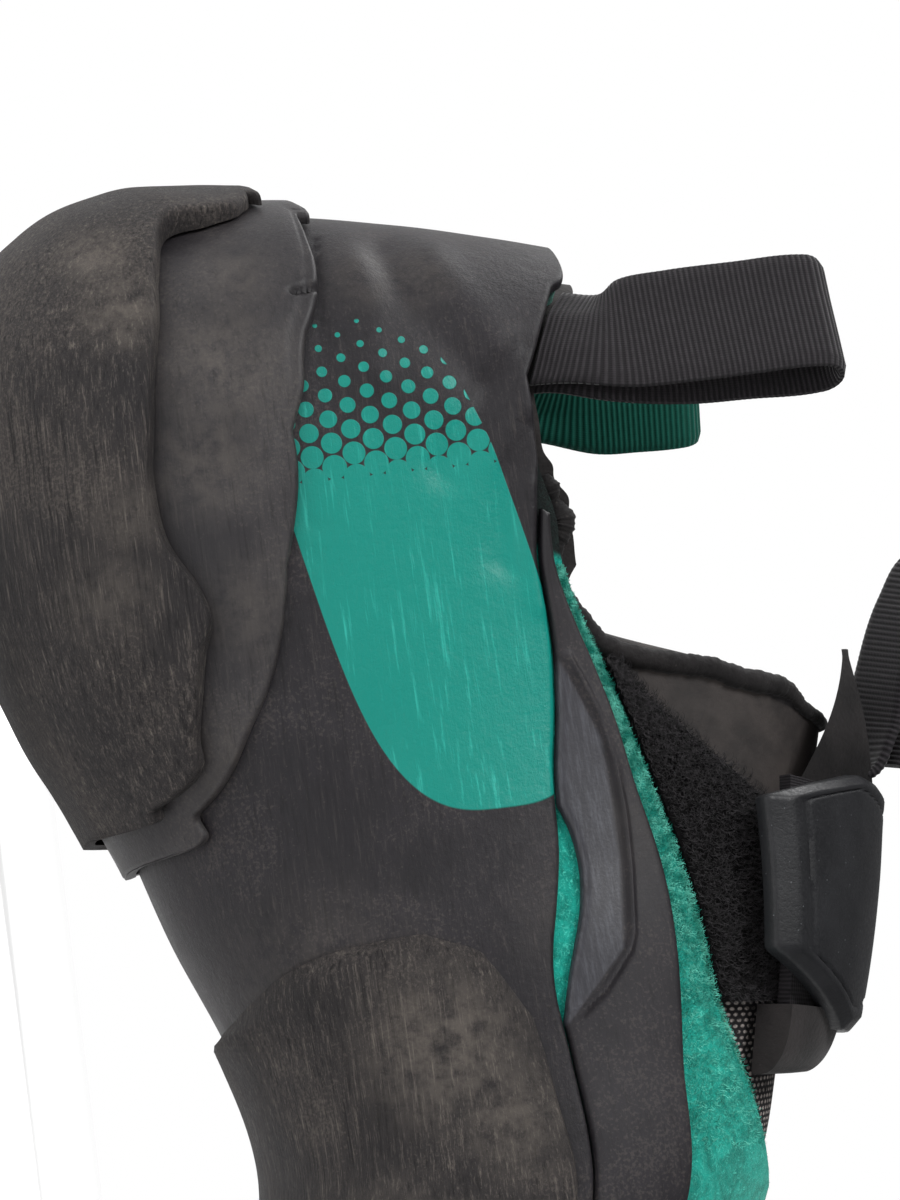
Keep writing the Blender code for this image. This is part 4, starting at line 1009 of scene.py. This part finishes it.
def make_plush():
    rows = stations_between(PLUSH_TOP[0].station, PLUSH_TOP[-1].station, 0.06, ROW_RIM)
    turns = spread(upper_top(rows) + 0.022, edge(PLUSH_TOP)(rows), 40, RIM[:4])
    return shell("pile_ground", rows, turns, PLUSH_WALL - UPPER_WALL, -UPPER_WALL, closed=True)


def strap_lift(turn):
    return 2 * GAP + (BAND_WALL + BAND_BEAD) * smooth_step(HALF_TURN * 1.02, HALF_TURN * 1.18, turn)


def make_strap():
    rows = stations_between(STRAP_FRONT, STRAP_BACK, 0.05, ROW_RIM)
    turns = spread(level(STRAP_END)(rows), 2 * HALF_TURN - level(STRAP_ROOT)(rows), 90, RIM)
    return shell("closure_strap", rows, turns, lambda s, t, p: strap_lift(t) + STRAP_WALL,
                 lambda s, t: strap_lift(t), closed=True)


def make_tab():
    start, end = STRAP_FRONT - 0.15, STRAP_BACK + 0.25
    rows = stations_between(start, end, 0.04, ROW_RIM)
    middle, half = (start + end) / 2, (end - start) / 2
    root, tip = level(TAB_ROOT), level(TAB_END)
    taper = np.clip((np.abs(rows - middle) / half - 0.55) / 0.45, 0, 1)
    near = tip(rows) + (HALF_TURN - tip(rows)) * 0.55 * taper
    turns = spread(near, 2 * HALF_TURN - root(rows), 70, RIM)

    def depth(station, turn, points):
        near_edge = border_distance(points)
        lift = strap_lift(turn) + STRAP_WALL + 3 * GAP
        bevel = np.clip(1 - near_edge / 2.6, 0, 1) * TAB_WALL * 0.42
        groove = 0.30 * MM * bump_at(near_edge, 4.4, 0.30)
        return lift + TAB_WALL - bevel - groove - rounded(near_edge, 0.35, 0.3 * MM)

    return shell("moulded_tab", rows, turns, depth, lambda s, t: strap_lift(t) + STRAP_WALL + 3 * GAP, closed=True)


# Webbing loops
def webbing(name, middle, rib=0.05, columns=16, across_mm=15.0):
    """A ribbed strip about a route: a grid of rows along it and columns across."""
    arc = np.concatenate([[0], np.cumsum(np.linalg.norm(np.diff(middle.mean(axis=1), axis=0), axis=1))]) / MM
    count = max(int(arc[-1] / 0.12), 8)
    at = np.linspace(0, arc[-1], count)
    dense = np.stack([[hermite(arc, middle[:, j, k], at) for k in range(3)]
                      for j in range(middle.shape[1])], axis=-1)
    dense = dense.transpose(1, 2, 0)
    shares = np.linspace(0, middle.shape[1] - 1, columns)
    low = np.clip(shares.astype(int), 0, middle.shape[1] - 2)
    part = (shares - low)[None, :, None]
    dense = dense[:, low] * (1 - part) + dense[:, low + 1] * part
    along, across = np.gradient(dense, axis=0), np.gradient(dense, axis=1)
    normal = np.cross(along, across)
    normal /= np.linalg.norm(normal, axis=-1, keepdims=True)
    edge_share = np.abs(np.linspace(-1, 1, columns))
    soft = np.where(edge_share > 0.97, 0.45, 1.0)[None, :, None]
    ribs = (rib * MM * np.sin(at * 2 * math.pi / RIB))[:, None, None]
    half = WEBBING_WALL / 2 - rib * MM
    front = dense + normal * (half + ribs) * soft
    back = dense - normal * (half + ribs) * soft
    uv = np.stack(np.broadcast_arrays(np.linspace(0, across_mm, columns)[None, :], at[:, None]), axis=-1)
    return closed_pair(name, front, back, uv, 70)


def pull_loop_route(side, height):
    stations = np.linspace(LOOP_PLACE - LOOP_REACH, LOOP_PLACE + LOOP_REACH, 4)
    turns = side * upper_top(stations)
    inner_depth = -(UPPER_WALL + COLLAR_WALL + WEBBING_WALL / 2 + 3 * GAP)
    base = skin(stations, turns, -UPPER_WALL / 2)
    foot = skin(stations, turns, inner_depth)
    up = np.array([0.0, 0.015, 1.0])
    up /= np.linalg.norm(up)
    run = (base[-1] - base[0]) * np.array([LOOP_FACING, 1.0, 1.0])
    run -= up * run.dot(up)
    run *= LOOP_WIDTH / np.linalg.norm(run)
    flat = np.stack([base.mean(axis=0) + run * share for share in np.linspace(-0.5, 0.5, 4)])
    inward = foot.mean(axis=0) - base.mean(axis=0)
    inward -= up * inward.dot(up)
    inward /= np.linalg.norm(inward)
    inner_reach = (foot - base).mean(axis=0).dot(inward)
    swell = max(LOOP_SPREAD - inner_reach, 0.0) / 2
    normal = outward(stations, turns)
    lean = up - normal * normal.dot(up)[:, None]
    lean /= np.linalg.norm(lean, axis=-1, keepdims=True)

    def climb(rise):
        return lean * min(rise, LOOP_CURVED) + up * max(rise - LOOP_CURVED, 0.0)

    straight = height - LOOP_SPREAD / 2
    rows = []
    for share in (0.0, 0.15, 0.3, 0.5, 0.75, 1.0):
        rise = LOOP_CLEAR + straight * share
        ease = smooth_step(LOOP_CURVED, LOOP_FLAT, rise)
        out = -inward * swell * smooth_step(LOOP_CURVED, straight, rise)
        rows.append(base * (1 - ease) + flat * ease + climb(rise) + out)
    crown = rows[-1]
    radius = (inner_reach + 2 * swell) / 2
    for angle in np.linspace(0, HALF_TURN, 9)[1:]:
        rows.append(crown + inward * radius * (1 - math.cos(angle)) + up * radius * math.sin(angle))
    for share in (0.75, 0.5, 0.25, 0.12, 0.0):
        rise = LOOP_CLEAR + straight * share
        ease = smooth_step(LOOP_CURVED, LOOP_FLAT, rise)
        out = inward * swell * smooth_step(LOOP_CURVED, straight, rise)
        rows.append(foot * (1 - ease) + (flat + inward * inner_reach) * ease + climb(rise) + out)
    rows.append(foot - lean * LOOP_SEAT)
    return np.array(rows)


def tongue_loop_route():
    depth = WEBBING_WALL / 2 - UPPER_WALL
    seat = skin(np.array([TONGUE_RIM - TONGUE_LOOP_BACK]), np.array([HALF_TURN]), depth)[0]
    start = seat + np.array(TONGUE_LOOP_START)
    rows = [(seat, 0.0), (seat * 0.5 + start * 0.5, 0.0), (start, 0.0)]
    legs = ((0.2, -0.2), (0.45, -0.9), (0.75, -1.3), (0.95, -0.6),
            (1.02, 1.2), (0.97, 3.2), (0.8, 4.4), (0.5, 3.9))
    for share, out in (*legs, (0.25, 2.6), (0.06, 1.4)):
        middle = TONGUE_LOOP_LEAN + (TONGUE_LOOP_END_LEAN - TONGUE_LOOP_LEAN) * share / 2
        heading = TONGUE_LOOP_LEAN + (TONGUE_LOOP_END_LEAN - TONGUE_LOOP_LEAN) * share
        along = np.array([0.0, -math.sin(middle), math.cos(middle)]) * TONGUE_LOOP_HEIGHT * share
        aside = np.array([0.0, math.cos(heading), math.sin(heading)]) * out * MM
        rows.append((start + along + aside, heading))
    middle = []
    for point, heading in rows:
        twist = TONGUE_LOOP_TWIST if heading else 0.0
        across = np.array([math.cos(twist), math.sin(twist) * math.cos(heading),
                           math.sin(twist) * math.sin(heading)])
        middle.append([point + across * TONGUE_LOOP_WIDTH * share for share in np.linspace(-0.5, 0.5, 3)])
    return np.array(middle)


# The roll's course: station, turn and radius in mm
RIM_ROLL = (
    (15.75, 1.88, 0.5), (15.50, 1.920, 1.35), (15.28, 1.955, 0.85), (15.05, 1.995, 1.6), (14.80, 2.015, 1.4),
    (14.50, 2.031, 1.05), (14.19, 2.055, 1.0), (13.86, 2.088, 1.1), (13.68, 2.122, 1.15), (13.51, 2.160, 1.2),
    (13.51, 2.238, 1.25), (13.66, 2.346, 1.2), (13.81, 2.427, 1.2), (13.88, 2.519, 1.25), (14.12, 2.648, 1.2),
    (14.15, 2.72, 1.0), (14.0, 2.80, 0.8), (14.0, 2.95, 0.8), (14.0, 3.1416, 0.8),
)


ROLL_SIDES = 24


def make_rim_roll():
    """The velvet roll that edges the collar's front and the tongue's rear rim, the same on both sides."""
    table = np.array(RIM_ROLL)
    back = table[-2::-1] * [1, -1, 1] + [0, 2 * HALF_TURN, 0]
    table = np.concatenate([table, back])
    knots = np.arange(len(table), dtype=float)
    at = np.linspace(0, knots[-1], 420)
    station, turn, radius = [hermite(knots, column, at) for column in table.T]
    centre = skin(station, turn, -TONGUE_DEPTH + 0.1 * MM)
    along = np.gradient(centre, axis=0)
    along /= np.linalg.norm(along, axis=1, keepdims=True)
    out = outward(station, turn)
    out -= along * (out * along).sum(axis=1, keepdims=True)
    out /= np.linalg.norm(out, axis=1, keepdims=True)
    side = np.cross(along, out)
    radius = radius * (1 + 0.05 * np.sin(at * 9) + 0.04 * np.sin(at * 23))
    angles = np.linspace(0, 2 * math.pi, ROLL_SIDES, endpoint=False)
    ring = out[:, None] * np.cos(angles)[None, :, None] + side[:, None] * np.sin(angles)[None, :, None]
    points = centre[:, None] + ring * (radius * MM)[:, None, None]
    last_ring = (len(at) - 1) * ROLL_SIDES
    faces = [[a + j, a + (j + 1) % ROLL_SIDES, a + ROLL_SIDES + (j + 1) % ROLL_SIDES, a + ROLL_SIDES + j]
             for a in range(0, last_ring, ROLL_SIDES) for j in range(ROLL_SIDES)]
    faces += [list(range(ROLL_SIDES))[::-1], [last_ring + j for j in range(ROLL_SIDES)]]
    uv = np.stack(np.broadcast_arrays(at[:, None], angles[None, :]), axis=-1).reshape(-1, 2)
    return tidy_mesh(mesh_from("rim_roll", points, faces, uv), 80)


def make_spike():
    """The pointed end of the strap's pile side, which stands up behind the tab."""
    low, high, tip = np.array([[12.0, 46.5, 88.6], [4.0, 48.5, 97.6], [6.0, 32.4, 96.5]]) * MM
    rows = []
    for t in np.linspace(0, 1, 40):
        foot = low + (high - low) * np.linspace(0, 1, 12)[:, None]
        wide = (1 - t) ** 1.25
        centre = (low + high) / 2 * (1 - t) + tip * t + np.array([1.2, 0, 0.6]) * MM * math.sin(math.pi * t)
        rows.append(centre + (foot - (low + high) / 2) * max(wide, 0.03))
    grid = np.array(rows)
    aside = np.array([0.75, 0.0, -0.66]) * 0.5 * MM
    uv = np.stack(np.meshgrid(np.arange(40) * 0.3, np.arange(12) * 0.5, indexing="ij"), axis=-1)
    return closed_pair("strap_spike", grid + aside, grid - aside, uv, 60)


def make_hem():
    """The strap's front end, rolled down in front of the tab."""
    front, back = STRAP_FRONT - 0.62, STRAP_FRONT + 0.05
    rows = np.linspace(front, back, 40)
    turns = spread(level(0.885)(rows), 2 * HALF_TURN - level(0.80)(rows), 50, RIM[:4])

    def depth(station, turn, points):
        t = np.clip((back - station) / (back - front), 0, 1)
        return 0.2 * MM + (strap_lift(turn) + STRAP_WALL + 1.2 * MM) * np.sqrt(np.maximum(1 - t ** 2.4, 0))

    return shell("strap_hem", rows, turns, depth, lambda s, t: -1.0 * MM + 0 * s, closed=True)


# Fibres
def fibres(name, roots, normals, seed, length, width, curl, steps):
    """Many thin curled ribbons, each from its root outwards."""
    rng = np.random.default_rng(seed)
    count = len(roots)
    aside = np.cross(normals, rng.normal(size=(count, 3)))
    aside /= np.linalg.norm(aside, axis=1, keepdims=True)
    other = np.cross(normals, aside)
    size = length * rng.uniform(0.6, 1.25, count)[:, None]
    turn = rng.uniform(0, 2 * math.pi, count)[:, None]
    spin = curl * rng.uniform(0.6, 1.3, count)[:, None]
    centre = roots.copy()
    rows = []
    for step in range(steps + 1):
        t = step / steps
        angle = turn + spin * t
        rows.append(centre.copy())
        heading = normals * (1 - 0.75 * t) + (aside * np.cos(angle) + other * np.sin(angle)) * (0.35 + 0.9 * t)
        heading /= np.linalg.norm(heading, axis=1, keepdims=True)
        centre = centre + heading * size / steps
    rows = np.array(rows)
    ahead = np.gradient(rows, axis=0)
    flank = np.cross(ahead, normals[None] + 0.3 * aside[None])
    flank /= np.linalg.norm(flank, axis=-1, keepdims=True) + 1e-12
    thin = width * np.linspace(1, 0.35, steps + 1)[:, None, None] / 2
    points = np.stack([rows - flank * thin, rows + flank * thin], axis=2)
    points = points.transpose(1, 0, 2, 3).reshape(-1, 3)
    base = (np.arange(count) * (steps + 1) * 2)[:, None] + (np.arange(steps) * 2)[None, :]
    base = base.reshape(-1, 1)
    faces = (base + np.array([[0, 1, 3, 2]])).tolist()
    return mesh_from(name, points, faces)


def scatter(seed, count, stations, low, high, depth):
    """Random places between two edges, as points and normals."""
    rng = np.random.default_rng(seed)
    station = rng.uniform(*stations, count)
    share = rng.uniform(0, 1, count)
    turn = low(station) * (1 - share) + high(station) * share
    return skin(station, turn, depth), outward(station, turn)


# Building it all
suede = suede_look()
rand_rubber = rand_look()
sole_rubber = sole_look()
cup_rubber = cup_look()
band_rubber = band_look()
black_web = webbing_look("black webbing", (0.0045, 0.0038, 0.0048), (0.0155, 0.0130, 0.0155))
teal_web = webbing_look("teal webbing", (0.0002, 0.050, 0.034), (0.0006, 0.085, 0.060))
lining = lining_look("collar lining", (0.009, 0.008, 0.008), (0.022, 0.019, 0.019))
velvet = lining_look("velvet rim", (0.0045, 0.004, 0.0042), (0.0125, 0.0110, 0.0112))

dress(make_upper(), suede, "suede", "upper")
dress(make_rand(), rand_rubber, "rand_rubber", "rand")
dress(make_cup(), cup_rubber, "rand_rubber", "heel_cup")
dress(make_heel_sole(), sole_rubber, "sole_rubber", "heel_sole")
dress(make_outsole(), sole_rubber, "sole_rubber", "outsole")
dress(make_band("band_outer", 1), band_rubber, "rand_rubber", "side_band_outer")
dress(make_band("band_inner", -1), band_rubber, "rand_rubber", "side_band_inner")
dress(make_patch(), rand_rubber, "rand_rubber", "toe_patch")
dress(make_tongue(), knit_look(), "knit", "tongue")
dress(make_collar(), lining, "lining", "collar")
dress(make_plush(), pile_look(), "pile", "strap_base")
dress(make_strap(), black_web, "black_webbing", "strap")
dress(make_tab(), tab_look(), "tab_rubber", "strap_tab")
dress(webbing("loop_outer", pull_loop_route(1, OUTER_LOOP_HEIGHT)), black_web, "black_webbing", "pull_loop_outer")
dress(webbing("loop_inner", pull_loop_route(-1, INNER_LOOP_HEIGHT)), teal_web, "teal_webbing", "pull_loop_inner")
dress(webbing("loop_tongue", tongue_loop_route(), across_mm=10), black_web, "black_webbing", "tongue_loop")
dress(make_spike(), velvet, "pile")
dress(make_rim_roll(), velvet, "lining")
dress(make_hem(), lining, "black_webbing")
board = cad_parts["insole"]
board.data.materials.clear()
board.data.materials.append(board_look())

pile_span = (PLUSH_TOP[0].station, PLUSH_TOP[-1].station)
pile_depth = PLUSH_WALL - UPPER_WALL - 0.1 * MM
roots, normals = scatter(3, 8000, pile_span, lambda s: upper_top(s) + 0.02, edge(PLUSH_TOP), pile_depth)
pile_fibre = fibre_look("pile fibres", (0.001, 0.001, 0.001), (0.018, 0.016, 0.018), 1900)
dress(fibres("pile_loops", roots, normals, 5, 1.9 * MM, 0.09 * MM, 4.5, 6), pile_fibre, "pile")

suede_fibre = fibre_look("suede fibres", (0.004, 0.18, 0.13), (0.12, 0.52, 0.41), 700)
roots, normals = scatter(7, 9000, (8.2, 14.2), lambda s: band_top(s) + 0.01, upper_top, -0.05 * MM)
dress(fibres("suede_nap", roots, normals, 9, 0.55 * MM, 0.07 * MM, 2.0, 3), suede_fibre, "suede")
rim_low = lambda s: upper_top(s) - 0.012
roots, normals = scatter(11, 3500, (7.6, 14.2), rim_low, upper_top, -0.6 * MM)
up_edge = np.array([0.0, -0.2, 1.0])
dress(fibres("suede_rim", roots, normals * 0.4 + up_edge, 13, 0.7 * MM, 0.07 * MM, 2.0, 3),
      suede_fibre, "suede")

# Floor, light, camera
floor_mesh = bpy.data.meshes.new("floor")
floor_mesh.from_pydata([(-3, -3, 0), (3, -3, 0), (3, 3, 0), (-3, 3, 0)], [], [(0, 1, 2, 3)])
floor = bpy.data.objects.new("floor", floor_mesh)
bpy.context.collection.objects.link(floor)
floor_look = bpy.data.materials.new("floor")
floor_look.use_nodes = True
WHITE = (1, 1, 1, 1)
floor_values = {
    "Base Color": (0.86, 0.86, 0.86, 1), "Roughness": 0.9, "Emission Color": WHITE, "Emission Strength": 0.7,
}
for socket, value in floor_values.items():
    floor_look.node_tree.nodes["Principled BSDF"].inputs[socket].default_value = value
floor_mesh.materials.append(floor_look)

# The world is white near the horizon and dimmer above and below
WORLD_FALL = {"From Min": 0.24, "From Max": 0.38, "To Min": 1.0, "To Max": 0.20}
world = bpy.data.worlds.new("studio")
world.use_nodes = True
tree = world.node_tree
direction = tree.nodes.new("ShaderNodeTexCoord").outputs["Generated"]
height = tree.nodes.new("ShaderNodeSeparateXYZ")
tree.links.new(direction, height.inputs[0])
steepness = tree.nodes.new("ShaderNodeMath")
steepness.operation = "ABSOLUTE"
tree.links.new(height.outputs[2], steepness.inputs[0])
falloff = tree.nodes.new("ShaderNodeMapRange")
falloff.interpolation_type = "SMOOTHSTEP"
tree.links.new(steepness.outputs[0], falloff.inputs["Value"])
for socket, value in WORLD_FALL.items():
    falloff.inputs[socket].default_value = value
tree.links.new(falloff.outputs["Result"], tree.nodes["Background"].inputs["Strength"])
tree.nodes["Background"].inputs["Color"].default_value = WHITE
scene.world = world
scene.view_settings.view_transform = "Standard"
scene.view_settings.look = "None"


def area_light(name, place, size, power):
    data = bpy.data.lights.new(name, "AREA")
    data.shape = "RECTANGLE"
    data.size, data.size_y = size
    data.energy = power
    lamp = bpy.data.objects.new(name, data)
    bpy.context.collection.objects.link(lamp)
    lamp.location = place
    lamp.rotation_euler = (target - Vector(place)).to_track_quat("-Z", "Y").to_euler()


target = Vector((0.020, 0.0227, 0.0517))
area_light("key", (0.50, -0.45, 0.70), (0.30, 0.30), 8.5)
area_light("fill", (0.75, 0.55, 0.25), (0.6, 0.4), 0.4)
area_light("back", (-0.35, -0.55, 0.55), (0.5, 0.4), 4.0)

camera_data = bpy.data.cameras.new("camera")
camera = bpy.data.objects.new("camera", camera_data)
bpy.context.collection.objects.link(camera)
distance, yaw, tilt, roll = 0.45, math.radians(5), math.radians(-5.6), math.radians(83)
towards = Vector((math.cos(tilt) * math.cos(yaw), math.cos(tilt) * math.sin(yaw), math.sin(tilt)))
camera.location = target + towards * distance
look_at = (-towards).to_track_quat("-Z", "Y").to_matrix()
camera.rotation_euler = (look_at @ Matrix.Rotation(roll, 3, "Z")).to_euler()
camera_data.sensor_fit = "VERTICAL"
camera_data.sensor_height = 36
camera_data.lens = 36 * distance / 0.1297
camera_data.clip_start = 0.01
scene.camera = camera
